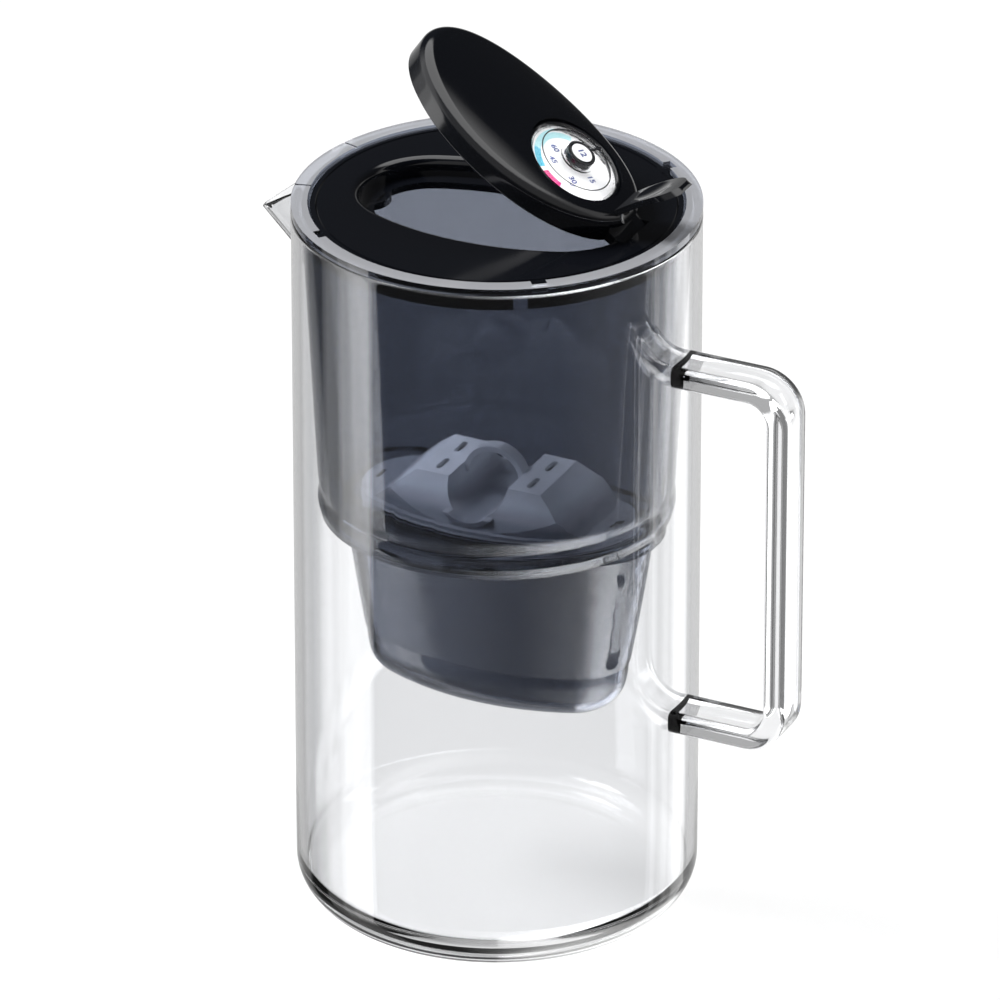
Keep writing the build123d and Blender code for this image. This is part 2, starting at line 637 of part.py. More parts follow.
def make_lid_plate():
    skirt_low = LID_TOP_Z - LID_SKIRT
    plate = rod(LID_R, LID_TOP_Z - LID_THICK, LID_TOP_Z)
    skirt = ring(LID_R, LID_R - LID_SKIRT_WALL, skirt_low, LID_TOP_Z)
    tub_low = LEDGE_Z - LEDGE_THICK
    tub = oval_prism(WELL_OVAL, -WELL_WALL, tub_low, LID_TOP_Z)
    backing = oval_prism(WELL_OVAL, -WELL_ROLL - WELL_WALL, LID_TOP_Z - WELL_ROLL - WELL_WALL, LID_TOP_Z)
    body = plate + skirt + tub + backing
    body = body - oval_prism(WELL_OVAL, 0, LEDGE_Z, LID_TOP_Z + 1)
    mouth = [edge for edge in edges_at(body, LID_TOP_Z) if edge.bounding_box().size.X < LID_R * 1.6]
    body = fillet(mouth, WELL_ROLL)
    hole = oval_prism(WELL_OVAL, LEDGE_WIDTH, tub_low - 1, LEDGE_Z + 1)
    groove_r = LID_R - LID_GROOVE_INSET
    groove = ring(groove_r, groove_r - LID_GROOVE, LID_TOP_Z - LID_GROOVE, LID_TOP_Z + 1)
    body = body - hole - groove + make_lugs() + finger_tab() + hinge_ears()
    return body - hinge_bores() - skirt_slot()


def make_lugs():
    low = LID_TOP_Z - LUG_DROP - LUG_THICK
    lug = box(LID_R - 2, LID_R + LUG_REACH, -LUG_WIDTH / 2, LUG_WIDTH / 2, low, low + LUG_THICK)
    return joined([Rot(0, 0, angle) * lug for angle in LUG_ANGLES])


def finger_tab():
    """Round tongue at the spout end of the well, with a shallow scoop."""
    tongue = rod(TAB_R, LEDGE_Z - LEDGE_THICK, LEDGE_Z, TAB_TIP_X - TAB_R, 0)
    tongue = tongue & oval_prism(WELL_OVAL, 0, LEDGE_Z - LEDGE_THICK, LEDGE_Z)
    scoop_z = LEDGE_Z + TAB_SCOOP_R - TAB_SCOOP_DEPTH
    return tongue - Pos(TAB_TIP_X - TAB_SCOOP_BACK, 0, scoop_z) * Sphere(TAB_SCOOP_R)


def skirt_slot():
    half = SKIRT_SLOT_WIDTH / 2
    low = LID_TOP_Z - LID_SKIRT - 1
    slot = box(LID_R - LID_SKIRT_WALL - 1, LID_R + 1, -half, half, low, LID_TOP_Z - LID_THICK)
    return joined([Rot(0, 0, SKIRT_SLOT_ANGLE + turn) * slot for turn in (0, 180)])


def hinge_ears():
    """Two bearing blocks for the pin, one each side of the knuckle."""
    far_y = EAR_Y + EAR_THICK
    back_x = WELL_HALF_LENGTH + WELL_ROLL + WELL_WALL / 2
    ear = box(HINGE_X - EAR_R, back_x, EAR_Y, far_y, LEDGE_Z - LEDGE_THICK, HINGE_Z)
    cap = cross_rod(EAR_R, HINGE_X, HINGE_Z, EAR_Y, far_y)
    one = ear + cap
    return one + mirror(one, Plane.XZ)


def hinge_bores():
    pocket_r = KNUCKLE_R + HINGE_POCKET_CLEAR
    pocket = cross_rod(pocket_r, HINGE_X, HINGE_Z, -EAR_Y, EAR_Y)
    above = box(HINGE_X - pocket_r, HINGE_X + pocket_r, -EAR_Y, EAR_Y, HINGE_Z, LID_TOP_Z + 1)
    bore = cross_rod(PIN_R, HINGE_X, HINGE_Z, -EAR_Y - EAR_THICK - 1, EAR_Y + EAR_THICK + 1)
    return pocket + above + bore


# ------------------------------------------------------------------ flip lid, drawn closed
def ellipse_prism(inset, z_low, z_high):
    face = Ellipse(FLIP_HALF_LENGTH - inset, FLIP_HALF_WIDTH - inset)
    return extrude(Pos(FLIP_CENTRE_X, 0, z_low) * face, z_high - z_low)


def under_crown(z_top, z_low):
    """Everything under a crown that falls to both sides and is z_top high on the middle line."""
    crown = Plane.YZ.offset(-REACH / 2) * Pos(0, z_top - CROWN_R, 0) * Circle(CROWN_R)
    bar = extrude(crown, REACH)
    side = FLIP_HALF_WIDTH * 2
    return bar & box(-REACH / 2, REACH / 2, -side, side, z_low, z_top + 1)


def cover_block(inset):
    top = FLIP_PART_Z + COVER_RISE - inset
    block = ellipse_prism(inset, BAND_Z, top + 1) & under_crown(top, BAND_Z)
    shoulder = [edge for edge in block.edges() if edge.center().Z > FLIP_PART_Z - FLIP_SAG + 1]
    return fillet(shoulder, COVER_ROUND - inset * 0.6)


def cover_fillings():
    """What stands inside the cover's skin: the dial's collar and the lever's pad and heel."""
    low = FLIP_PART_Z - FLIP_SAG
    collar = rod(BEZEL_R + COVER_WALL, low, INSIDE_COVER_Z, DIAL_X, 0)
    half = LEVER_WIDTH / 2 + PAD_MARGIN
    pad = box(LEVER_ROOT[0] - PAD_BACK, LEVER_ROOT[0] + PAD_FRONT, -half, half, low, INSIDE_COVER_Z)
    heel = ellipse_prism(HEEL_INSET, low, FLIP_PART_Z + HEEL_RISE)
    heel = heel & box(LEVER_ROOT[0], REACH, -half, half, low, INSIDE_COVER_Z)
    return [collar, pad, heel]


def make_flip_cover():
    parting = under_crown(FLIP_PART_Z, BAND_Z - 1)
    below_skin = under_crown(INSIDE_COVER_Z, BAND_Z - 1)
    cover = cover_block(0) - parting - cover_block(COVER_WALL)
    for filling in cover_fillings():
        cover = cover + ((filling & below_skin) - parting)
    cover = cover + dial_floor()
    for x, y in SCREW_SPOTS:
        boss = rod(BOSS_R, BOSS_JOIN_Z, INSIDE_COVER_Z, x, y) & below_skin
        cover = cover + boss - rod(SCREW_R, BAND_Z, SCREW_END_Z + PILOT_SPARE, x, y)
    cover = cover + rod(HUB_R, HUB_LOW_Z, DIAL_SEAT_Z, DIAL_X, 0)
    cover = cover - rod(BEZEL_R, DIAL_SEAT_Z, FLIP_PART_Z + COVER_RISE + 1, DIAL_X, 0)
    cover = cover - rod(AXLE_R + AXLE_CLEAR, BAND_Z, DIAL_SEAT_Z + 1, DIAL_X, 0)
    return cover - lever_solid(LEVER_SOCKET_CLEAR) - thumb_hollow()


def dial_floor():
    """Plate under the dial's recess; it dips into the base's hollow."""
    plate = rod(BEZEL_R + COVER_WALL / 2, DIAL_SEAT_Z - DIAL_FLOOR, DIAL_SEAT_Z, DIAL_X, 0)
    return plate & ellipse_prism(PLUG_INSET + BASE_WALL + DIAL_FLOOR_CLEAR, BAND_Z, FLIP_PART_Z + 1)


def thumb_hollow():
    """Round-ended trough that the thumb slides into under the lever."""
    half = THUMB_HALF
    trough = cross_rod(THUMB_R, THUMB_X, THUMB_Z, -half, half)
    for side in (-half, half):
        trough = trough + Pos(THUMB_X, side, THUMB_Z) * Sphere(THUMB_R)
    return trough


def make_flip_base():
    band = ellipse_prism(0, BAND_Z, FLIP_PART_Z + 1) & under_crown(FLIP_PART_Z, BAND_Z - 1)
    plug = ellipse_prism(PLUG_INSET, PLUG_Z, BAND_Z)
    plug = fillet(edges_at(plug, PLUG_Z), 1.2)
    base = band + plug
    room = ellipse_prism(PLUG_INSET + BASE_WALL, PLUG_Z + BASE_WALL, FLIP_PART_Z + 1)
    base = base - room
    for x, y in SCREW_SPOTS:
        post = rod(BOSS_R, PLUG_Z + 1, BOSS_JOIN_Z, x, y)
        shaft = rod(SCREW_R + SCREW_CLEAR, PLUG_Z - 1, FLIP_PART_Z, x, y)
        head = rod(SCREW_HEAD_R + SCREW_CLEAR, PLUG_Z - 1, SCREW_SEAT_Z, x, y)
        base = base + post - shaft - head
    return base + hinge_knuckle() - pin_bore()


def hinge_knuckle():
    barrel = cross_rod(KNUCKLE_R, HINGE_X, HINGE_Z, -KNUCKLE_HALF, KNUCKLE_HALF)
    low = HINGE_Z + KNUCKLE_R - ARM_THICK
    arm = box(HINGE_X - ARM_LENGTH, HINGE_X, -KNUCKLE_HALF, KNUCKLE_HALF, low, HINGE_Z + KNUCKLE_R)
    return barrel + arm


def pin_bore():
    return cross_rod(PIN_R + PIN_CLEAR, HINGE_X, HINGE_Z, -KNUCKLE_HALF - 1, KNUCKLE_HALF + 1)


def make_hinge_pin():
    half = EAR_Y + EAR_THICK
    return cross_rod(PIN_R, HINGE_X, HINGE_Z, -half, half)


def make_flip_seal():
    """Soft ring round the plug, under the band."""
    outer = ellipse_prism(PLUG_INSET - FLIP_SEAL_WIDTH, BAND_Z - FLIP_SEAL_THICK, BAND_Z)
    return outer - ellipse_prism(PLUG_INSET, BAND_Z - FLIP_SEAL_THICK, BAND_Z)


def lever_outline(extra):
    """Plan of the lever seen along X: straight sides and a round tip."""
    low = LEVER_ROOT[1] - 2 * LEVER_THICK
    top = LEVER_TIP[1]
    width = LEVER_WIDTH + 2 * extra
    return Pos(0, (low + top) / 2) * RectangleRounded(width, top - low, LEVER_TIP_R)


def lever_solid(extra):
    """Curved blade: a bent strip in side view, cut to its outline."""
    strip = trace(Spline(LEVER_ROOT, LEVER_KNEE, LEVER_TIP), LEVER_THICK + 2 * extra)
    blade = extrude(Plane.XZ * strip, LEVER_WIDTH / 2 + extra, both=True)
    return blade & extrude(Plane.YZ * lever_outline(extra), REACH)


def make_thumb_lever():
    blade = lever_solid(0)
    mid_x, mid_z = LEVER_KNEE
    lean = atan2(LEVER_TIP[1] - LEVER_ROOT[1], LEVER_TIP[0] - LEVER_ROOT[0])
    away = LEVER_SCOOP_R + LEVER_THICK / 2 - LEVER_SCOOP_DEPTH
    centre = (mid_x - away * sin(lean), 0, mid_z + away * cos(lean))
    return blade - Pos(*centre) * Sphere(LEVER_SCOOP_R)


# ------------------------------------------------------------------ dial
def make_dial_bezel():
    top = DIAL_SEAT_Z + BEZEL_HEIGHT
    body = ring(BEZEL_R - BEZEL_CLEAR, LENS_R + BEZEL_CLEAR, DIAL_SEAT_Z, top, DIAL_X, 0)
    return chamfer(edges_at(body, top), BEZEL_CHAMFER)


def make_dial_card():
    return ring(LENS_R, AXLE_R + AXLE_CLEAR, DIAL_SEAT_Z, CARD_TOP_Z, DIAL_X, 0)


def lens_block(inset):
    """Low frustum with an upright rim, less a wall thickness."""
    foot = rod(LENS_R - inset, CARD_TOP_Z, CARD_TOP_Z + LENS_RIM)
    slope = frustum(LENS_R - inset, CARD_TOP_Z + LENS_RIM, LENS_TOP_R - inset, LENS_TOP_Z - inset)
    return Pos(DIAL_X, 0, 0) * (foot + slope)


def make_dial_lens():
    """Clear cap over the card: a flat top inside a sloping edge."""
    cap = lens_block(0) - lens_block(LENS_THICK)
    return cap - rod(AXLE_R + AXLE_CLEAR, CARD_TOP_Z, LENS_TOP_Z + 1, DIAL_X, 0)


def make_dial_skirt():
    return ring(KNOB_SKIRT_R, KNOB_R, KNOB_LOW_Z, KNOB_LOW_Z + KNOB_SKIRT, DIAL_X, 0)


def make_dial_knob():
    shoulder = KNOB_TOP_Z - POINTER_THICK
    grip = rod(KNOB_R, KNOB_LOW_Z, shoulder, DIAL_X, 0)
    head = rod(KNOB_R - KNOB_REBATE, shoulder, KNOB_TOP_Z, DIAL_X, 0)
    head = fillet(edges_at(head, KNOB_TOP_Z), KNOB_ROUND)
    axle = rod(AXLE_R, CLIP_TOP_Z - CLIP_THICK - AXLE_PROUD, KNOB_LOW_Z, DIAL_X, 0)
    return grip + head + axle


def make_dial_pointer():
    """Ring in the knob's rebate with one hand."""
    low = KNOB_TOP_Z - POINTER_THICK
    half = POINTER_WIDTH / 2
    band = ring(KNOB_R, KNOB_R - KNOB_REBATE + POINTER_CLEAR, low, KNOB_TOP_Z)
    hand = box(KNOB_R - half, POINTER_REACH, -half, half, low, KNOB_TOP_Z)
    return Pos(DIAL_X, 0, 0) * Rot(0, 0, POINTER_ANGLE) * (band + hand)


def make_axle_clip():
    return ring(CLIP_R, AXLE_R, CLIP_TOP_Z - CLIP_THICK, CLIP_TOP_Z, DIAL_X, 0)


def make_screw(x, y):
    low = PLUG_Z + SCREW_SUNK
    head = rod(SCREW_HEAD_R, low, SCREW_SEAT_Z, x, y)
    shank = rod(SCREW_R - LEVER_SOCKET_CLEAR, SCREW_SEAT_Z, SCREW_END_Z, x, y)
    along = DRIVE_LENGTH / 2
    across = DRIVE_WIDTH / 2
    drive = box(x - along, x + along, y - across, y + across, low - 1, low + DRIVE_DEPTH)
    drive = drive + box(x - across, x + across, y - along, y + along, low - 1, low + DRIVE_DEPTH)
    return head + shank - drive


# ------------------------------------------------------------------ pieces
def opened(solid):
    """Swing a piece of the flip lid from closed to the photographed pose."""
    pivot = Pos(HINGE_X, 0, HINGE_Z)
    return as_one(solid).moved(pivot * Rot(0, FLIP_OPEN, 0) * pivot.inverse())


def fixed_pieces():
    return {
        "jug_body": make_jug_body(),
        "jug_handle": make_handle(),
        "hopper": make_hopper(),
        "cartridge_cup": make_cartridge_cup(),
        "cartridge_cap": make_cartridge_cap(),
        "cartridge_seal": make_cartridge_seal(),
        "inlet_screen": make_screen(CART_FLANGE_Z - 6),
        "outlet_screen": make_screen(CUP_FOOT_Z + CUP_ROUND),
        "filter_media": make_media(),
        "lid_plate": make_lid_plate(),
        "hinge_pin": make_hinge_pin(),
    }


def swinging_pieces():
    return {
        "flip_cover": make_flip_cover(),
        "flip_base": make_flip_base(),
        "flip_seal": make_flip_seal(),
        "thumb_lever": make_thumb_lever(),
        "cover_screws": joined([make_screw(x, y) for x, y in SCREW_SPOTS]),
        "dial_bezel": make_dial_bezel(),
        "dial_card": make_dial_card(),
        "dial_lens": make_dial_lens(),
        "dial_knob": make_dial_knob(),
        "dial_skirt": make_dial_skirt(),
        "dial_pointer": make_dial_pointer(),
        "axle_clip": make_axle_clip(),
    }


def main():
    os.makedirs("parts", exist_ok=True)
    pieces = fixed_pieces()
    pieces.update({name: opened(solid) for name, solid in swinging_pieces().items()})
    for name, solid in pieces.items():
        export_step(as_one(solid), f"parts/{name}.step")
    print(len(pieces), "pieces written")


main()
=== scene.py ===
# %% [markdown]
# # A water filter pitcher with a flip lid
# A straight glass jug holds a smoked hopper. The hopper holds a filter cartridge and
# carries a black lid, and in the lid a flip lid stands open with a small dial on it.
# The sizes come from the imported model, which is the fixed frame of this scene. This
# lesson dresses that frame: glass that is really hollow, tinted plastic, polished black
# plastic and a printed dial. All lengths are in metres.

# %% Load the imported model
from math import atan2, cos, pi, radians, sin, sqrt

import bmesh
import bpy
from mathutils import Matrix, Vector


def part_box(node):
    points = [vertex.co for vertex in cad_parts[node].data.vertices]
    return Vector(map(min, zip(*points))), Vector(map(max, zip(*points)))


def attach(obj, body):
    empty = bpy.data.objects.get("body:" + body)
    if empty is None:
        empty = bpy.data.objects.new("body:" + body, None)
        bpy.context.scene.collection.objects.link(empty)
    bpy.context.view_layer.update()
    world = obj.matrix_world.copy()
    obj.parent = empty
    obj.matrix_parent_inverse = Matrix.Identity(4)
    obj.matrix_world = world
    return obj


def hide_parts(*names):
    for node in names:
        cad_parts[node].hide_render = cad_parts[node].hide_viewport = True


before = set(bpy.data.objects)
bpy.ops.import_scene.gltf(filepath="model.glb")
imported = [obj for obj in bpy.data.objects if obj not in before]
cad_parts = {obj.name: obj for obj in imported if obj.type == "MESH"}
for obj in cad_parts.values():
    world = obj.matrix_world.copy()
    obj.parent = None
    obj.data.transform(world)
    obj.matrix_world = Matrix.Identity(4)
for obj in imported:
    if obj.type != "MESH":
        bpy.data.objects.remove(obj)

for spare in ("Cube", "Light", "Camera"):
    if spare in bpy.data.objects:
        bpy.data.objects.remove(bpy.data.objects[spare])
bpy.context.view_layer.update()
MM = 0.001

# %% [markdown]
# ## Camera
# The picture is taken from above, 26 degrees to the right of the jug's middle plane and
# 27 degrees over the horizon, with a long lens. So the far rim is hardly smaller than the
# near one. The camera is placed by its distance along the line of sight, and then
# pushed sideways and up, so that its sensor needs no shift.

# %% Place the camera
VIEW_TURN = radians(26.0)
VIEW_TILT = radians(26.87)
LENS_PIXELS = 10940.0
PIXELS_PER_MM = 2.9441
FRAME_PIXELS = 1000
SENSOR_MM = 36.0
AIM = Vector((0, 0, 0.125))
AIM_PIXEL = (497.0, 556.95)
DISTANCE = LENS_PIXELS / PIXELS_PER_MM * MM


def add_object(name, data):
    item = bpy.data.objects.new(name, data)
    bpy.context.scene.collection.objects.link(item)
    return item


camera_right = Vector((cos(VIEW_TURN), sin(VIEW_TURN), 0))
camera_side = Vector((sin(VIEW_TURN), -cos(VIEW_TURN), 0))
camera_back = camera_side * cos(VIEW_TILT) + Vector((0, 0, sin(VIEW_TILT)))
camera_up = camera_back.cross(camera_right)

camera_data = bpy.data.cameras.new("camera")
camera_data.sensor_width = SENSOR_MM
camera_data.lens = SENSOR_MM * LENS_PIXELS / FRAME_PIXELS
camera_data.clip_end = 50.0
camera = add_object("camera", camera_data)
shift_right, shift_up = [(pixel - FRAME_PIXELS / 2) / LENS_PIXELS * DISTANCE for pixel in AIM_PIXEL]
eye = AIM + camera_back * DISTANCE - camera_right * shift_right + camera_up * shift_up
facing = Matrix((camera_right, camera_up, camera_back)).transposed().to_4x4()
camera.matrix_world = Matrix.Translation(eye) @ facing
bpy.context.scene.camera = camera
print("camera", round(DISTANCE, 3), "m away, lens", round(camera_data.lens, 1), "mm")

# %% [markdown]
# ## Helpers for materials
# Every finish here is one Principled shader. Fixed sizes and colours are typed straight
# into its sockets. What varies over the surface, such as fine haze or a faint waviness,
# comes from noise textures in object space, so it stays on the piece when it moves.

# %% Add a node to any tree
def add_node(tree, kind, values=None, **settings):
    """New node; each value is a number, a colour or the output of another node."""
    node = tree.nodes.new(kind)
    for setting, value in settings.items():
        setattr(node, setting, value)
    for socket, value in (values or {}).items():
        if isinstance(value, bpy.types.NodeSocket):
            tree.links.new(value, node.inputs[socket])
        else:
            node.inputs[socket].default_value = value
    return node


def arithmetic(tree, operation, first, second):
    return add_node(tree, "ShaderNodeMath", {0: first, 1: second}, operation=operation).outputs[0]


# %% Start a material
def shader_of(material):
    return material.node_tree.nodes["Principled BSDF"]


def new_material(name, **sockets):
    """Principled material; every keyword is a socket's name with _ for a space."""
    material = bpy.data.materials.new(name)
    material.use_nodes = True
    for socket, value in sockets.items():
        shader_of(material).inputs[socket.replace("_", " ")].default_value = value
    return material


def drive(material, socket, output):
    """Let a texture set one socket of the material's shader."""
    material.node_tree.links.new(output, shader_of(material).inputs[socket])


# %% Add haze and waviness
NOISE_DETAIL = 2.0
NOISE_LOW = 0.3  # noise seldom leaves this range
NOISE_HIGH = 0.7


def object_place(material):
    return add_node(material.node_tree, "ShaderNodeTexCoord").outputs["Object"]


def object_noise(material, scale):
    return add_node(material.node_tree, "ShaderNodeTexNoise", {
        "Vector": object_place(material), "Scale": scale, "Detail": NOISE_DETAIL}).outputs["Fac"]


def spread(material, source, start, end, low, high):
    """Map a value between start and end onto the range from low to high."""
    return add_node(material.node_tree, "ShaderNodeMapRange", {
        "Value": source, "From Min": start, "From Max": end,
        "To Min": low, "To Max": high}).outputs["Result"]


def add_haze(material, scale, low, high):
    """Roughness that drifts between two values, as on wiped plastic."""
    noise = object_noise(material, scale)
    drive(material, "Roughness", spread(material, noise, NOISE_LOW, NOISE_HIGH, low, high))


def add_waves(material, scale, depth_mm):
    """Faint unevenness of the surface, as a bump."""
    bump = add_node(material.node_tree, "ShaderNodeBump", {
        "Strength": 1.0, "Distance": depth_mm * MM, "Height": object_noise(material, scale)})
    drive(material, "Normal", bump.outputs["Normal"])


# %% [markdown]
# A lamp's light can't be traced through bent glass with few samples, so everything behind
# the glass would be black. Rays that look for a lamp therefore pass clear materials as if
# they were thin air with a tint, and the eye still sees them bend and mirror.

# %% Let the lamps through clear pieces
def let_lamps_through(material, tint):
    tree = material.node_tree
    clear = add_node(tree, "ShaderNodeBsdfTransparent", {"Color": tint})
    path = add_node(tree, "ShaderNodeLightPath")
    choice = add_node(tree, "ShaderNodeMixShader", {
        "Fac": path.outputs["Is Shadow Ray"], 1: shader_of(material).outputs["BSDF"],
        2: clear.outputs["BSDF"]})
    tree.links.new(choice.outputs["Shader"], tree.nodes["Material Output"].inputs["Surface"])


# %% [markdown]
# ## Clear finishes
# The jug is clear hard glass. The hopper is clear plastic dyed smoke grey, so that each
# wall that light crosses takes most of it away: one wall looks mid grey and two look
# nearly black. Its flange is seen on edge, where less dye lies in the way, so the flange
# has a lighter smoke of its own. The dial's cap and the knob's skirt are clear acrylic.

# %% Clear and smoked finishes
NO_TINT = (1, 1, 1, 1)

glass = new_material("clear_glass", Base_Color=(0.885, 0.89, 0.9, 1), Roughness=0.0, IOR=1.47,
                     Transmission_Weight=1.0)
add_waves(glass, 9.0, 0.015)
let_lamps_through(glass, NO_TINT)

smoke = new_material("smoked_plastic", Base_Color=(0.205, 0.225, 0.275, 1), IOR=1.6,
                     Transmission_Weight=1.0)
add_haze(smoke, 40.0, 0.02, 0.05)
let_lamps_through(smoke, NO_TINT)

smoke_rim = new_material("smoked_rim", Base_Color=(0.5, 0.51, 0.54, 1), IOR=1.5,
                         Transmission_Weight=0.6)
add_haze(smoke_rim, 40.0, 0.03, 0.06)
let_lamps_through(smoke_rim, (0.7, 0.7, 0.72, 1))

acrylic = new_material("clear_acrylic", Base_Color=(0.985, 0.985, 0.99, 1), Roughness=0.0,
                       IOR=1.25, Transmission_Weight=1.0)
add_waves(acrylic, 40.0, 0.004)
let_lamps_through(acrylic, NO_TINT)
print("clear finishes:", glass.name, smoke.name, smoke_rim.name, acrylic.name)

# %% [markdown]
# ## The cartridge's grey, with painted light
# Behind the smoked wall only pale plastic shows at all. The cap is one grey plastic, but its
# colour is painted palest at its humps, as painted light where they face the lamp, and darker
# on its flange, as painted shade. One gradient over the height does that, read from Object
# coordinates, so it rises with the cartridge.

# %% Cartridge finishes
FLANGE_Z = 0.1505
HUMP_Z = 0.157


def cartridge_finish(name, colour):
    material = new_material(name, Base_Color=colour, Specular_IOR_Level=0.4)
    add_haze(material, 60.0, 0.38, 0.5)
    add_waves(material, 900.0, 0.02)
    return material


cup_grey = cartridge_finish("cup_grey", (0.6, 0.615, 0.65, 1))
cartridge_grey = cartridge_finish("cartridge_grey", (0.84, 0.86, 0.9, 1))
# painted light and shade: the cap's base colour runs from dark grey at the flange up to pale grey
# at the humps
cap_height = add_node(cartridge_grey.node_tree, "ShaderNodeSeparateXYZ", {
    "Vector": object_place(cartridge_grey)}).outputs["Z"]
painted_light_tone = add_node(cartridge_grey.node_tree, "ShaderNodeMix", {
    0: spread(cartridge_grey, cap_height, FLANGE_Z, HUMP_Z, 0.0, 1.0),
    6: (0.3, 0.31, 0.34, 1), 7: (0.95, 0.96, 0.98, 1)}, data_type="RGBA")
drive(cartridge_grey, "Base Color", painted_light_tone.outputs[2])
print("cap grows paler from", FLANGE_Z, "to", HUMP_Z, "m")

# %% [markdown]
# ## Solid finishes
# The lid pieces are polished black plastic, the screws and the pin are plain steel, and
# the seals are soft and dull. Sieve and granules are fine grains, which a bump gives well
# enough, because they are seen only when the cartridge is taken apart.

# %% Solid finishes
black_gloss = new_material("black_gloss", Base_Color=(0.003, 0.0035, 0.005, 1), IOR=1.5)
add_haze(black_gloss, 30.0, 0.07, 0.12)
add_waves(black_gloss, 60.0, 0.01)

black_matte = new_material("black_print", Base_Color=(0.006, 0.006, 0.008, 1))
add_haze(black_matte, 200.0, 0.4, 0.6)

steel = new_material("plain_steel", Base_Color=(0.6, 0.6, 0.61, 1), Metallic=1.0)
add_haze(steel, 300.0, 0.25, 0.4)

soft_seal = new_material("soft_seal", Base_Color=(0.03, 0.03, 0.033, 1))
add_haze(soft_seal, 120.0, 0.55, 0.75)

sieve = new_material("sieve", Base_Color=(0.7, 0.71, 0.73, 1))
add_haze(sieve, 400.0, 0.4, 0.7)
add_waves(sieve, 1800.0, 0.1)

granules = new_material("granules", Base_Color=(0.08, 0.075, 0.07, 1))
add_haze(granules, 500.0, 0.5, 0.8)
add_waves(granules, 1200.0, 0.4)

white_print = new_material("white_card", Base_Color=(0.86, 0.865, 0.87, 1))
add_haze(white_print, 150.0, 0.35, 0.5)
print(len(bpy.data.materials), "finishes")

# %% [markdown]
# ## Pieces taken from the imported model
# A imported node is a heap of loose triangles. A copy of it with its doubled points merged
# can be shaded smoothly, with a crease left wherever two faces meet at a clear angle.

# %% Copy a node and smooth it
CREASE = radians(28)
SAME_POINT = 2e-6


def shade_with_creases(mesh, angle):
    mesh.shade_smooth()
    mesh.set_sharp_from_angle(angle=angle)


def finish_piece(piece, body, material):
    piece.data.materials.clear()
    piece.data.materials.append(material)
    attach(piece, body)
    return piece


def smooth_copy(node, name, body, material):
    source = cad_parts[node].data
    shell = bmesh.new()
    shell.from_mesh(source)
    bmesh.ops.remove_doubles(shell, verts=shell.verts, dist=SAME_POINT)
    points = [vertex.co.copy() for vertex in shell.verts]
    faces = [[vertex.index for vertex in face.verts] for face in shell.faces]
    shell.free()
    mesh = bpy.data.meshes.new(name)
    mesh.from_pydata(points, [], faces)
    shade_with_creases(mesh, CREASE)
    piece = add_object(name, mesh)
    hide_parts(node)
    return finish_piece(piece, body, material)


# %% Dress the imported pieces
# (node, name here, body, slot, finish)
dressed = [
    ("hopper", "smoked_hopper", "hopper", "smoked_plastic", smoke),
    ("cartridge_cup", "filter_cup", "cartridge", "cartridge_grey", cup_grey),
    ("cartridge_cap", "filter_cap", "cartridge", "cartridge_grey", cartridge_grey),
    ("lid_plate", "lid", "lid", "black_gloss", black_gloss),
    ("flip_cover", "flip_lid_cover", "flip", "black_gloss", black_gloss),
    ("flip_base", "flip_lid_base", "flip", "black_gloss", black_gloss),
    ("flip_seal", "flip_lid_seal", "flip", "soft_seal", soft_seal),
    ("thumb_lever", "lever", "flip", "black_gloss", black_gloss),
    ("dial_bezel", "bezel", "flip", "black_gloss", black_gloss),
    ("dial_card", "card", "flip", "dial_card", white_print),
    ("dial_lens", "window", "flip", "dial_lens", acrylic),
    ("dial_knob", "knob", "dial", "black_gloss", black_gloss),
    ("dial_skirt", "knob_skirt", "dial", "dial_lens", acrylic),
    ("dial_pointer", "hand", "dial", "black_matte", black_matte),
    ("hinge_pin", "pin", "lid", "steel", steel),
]
for node, name, body, slot, material in dressed:
    made = smooth_copy(node, name, body, material)
    print(name, len(made.data.polygons), "faces")

# %% [markdown]
# The filter pocket under the hopper is a little fuller at its mouth than the packed
# solid's plain taper, and draws in more towards its foot, as a deep moulding does. The
# round wall above it turns in softly at its own foot. Moving points does both, but flat
# walls have points only at their ends. So the copy is first cut into thin level slices.

# %% Cut the hopper into level slices
def slice_level(piece, low, high, count):
    shell = bmesh.new()
    shell.from_mesh(piece.data)
    for k in range(count):
        level = low + (high - low) * k / (count - 1)
        parts = shell.verts[:] + shell.edges[:] + shell.faces[:]
        bmesh.ops.bisect_plane(shell, geom=parts, dist=1e-6, plane_co=(0, 0, level),
                               plane_no=(0, 0, 1))
    bmesh.ops.triangulate(shell, faces=shell.faces)
    shell.to_mesh(piece.data)
    shell.free()
    shade_with_creases(piece.data, CREASE)


POCKET_TOP = 0.1453
POCKET_FOOT = 0.077
HOPPER_FOOT = 0.148
FOOT_TURN_HEIGHT = 0.014
POCKET_SLICES = 18
FOOT_SLICES = 12

hopper = bpy.data.objects["smoked_hopper"]
slice_level(hopper, POCKET_FOOT + 0.012, POCKET_TOP - 0.003, POCKET_SLICES)
slice_level(hopper, HOPPER_FOOT + 0.001, HOPPER_FOOT + FOOT_TURN_HEIGHT, FOOT_SLICES)
print("hopper", len(hopper.data.polygons), "faces")

# %% Swell the pocket's mouth and turn the wall's foot in
ROUND_WALL_R = 0.0575  # the round wall lies outside this radius, the pocket inside
FOOT_EDGE = HOPPER_FOOT - 0.002
SLIM_FROM = 0.25
FOOT_SLIM = 0.0006
FOOT_TURN = 0.0036
FOOT_TURN_POWER = 2.2
MOUTH_SWELL = 0.08
DRAW_IN = 1.25  # over 1, so the pocket's foot ends slimmer than the solid
DRAW_POWER = 1.6
HOPPER_REACH = 0.0625
REACH_FADE = 0.008
SWELL_TOP = 0.152
SWELL_FADE = 0.004


def clamp(value):
    return min(max(value, 0.0), 1.0)


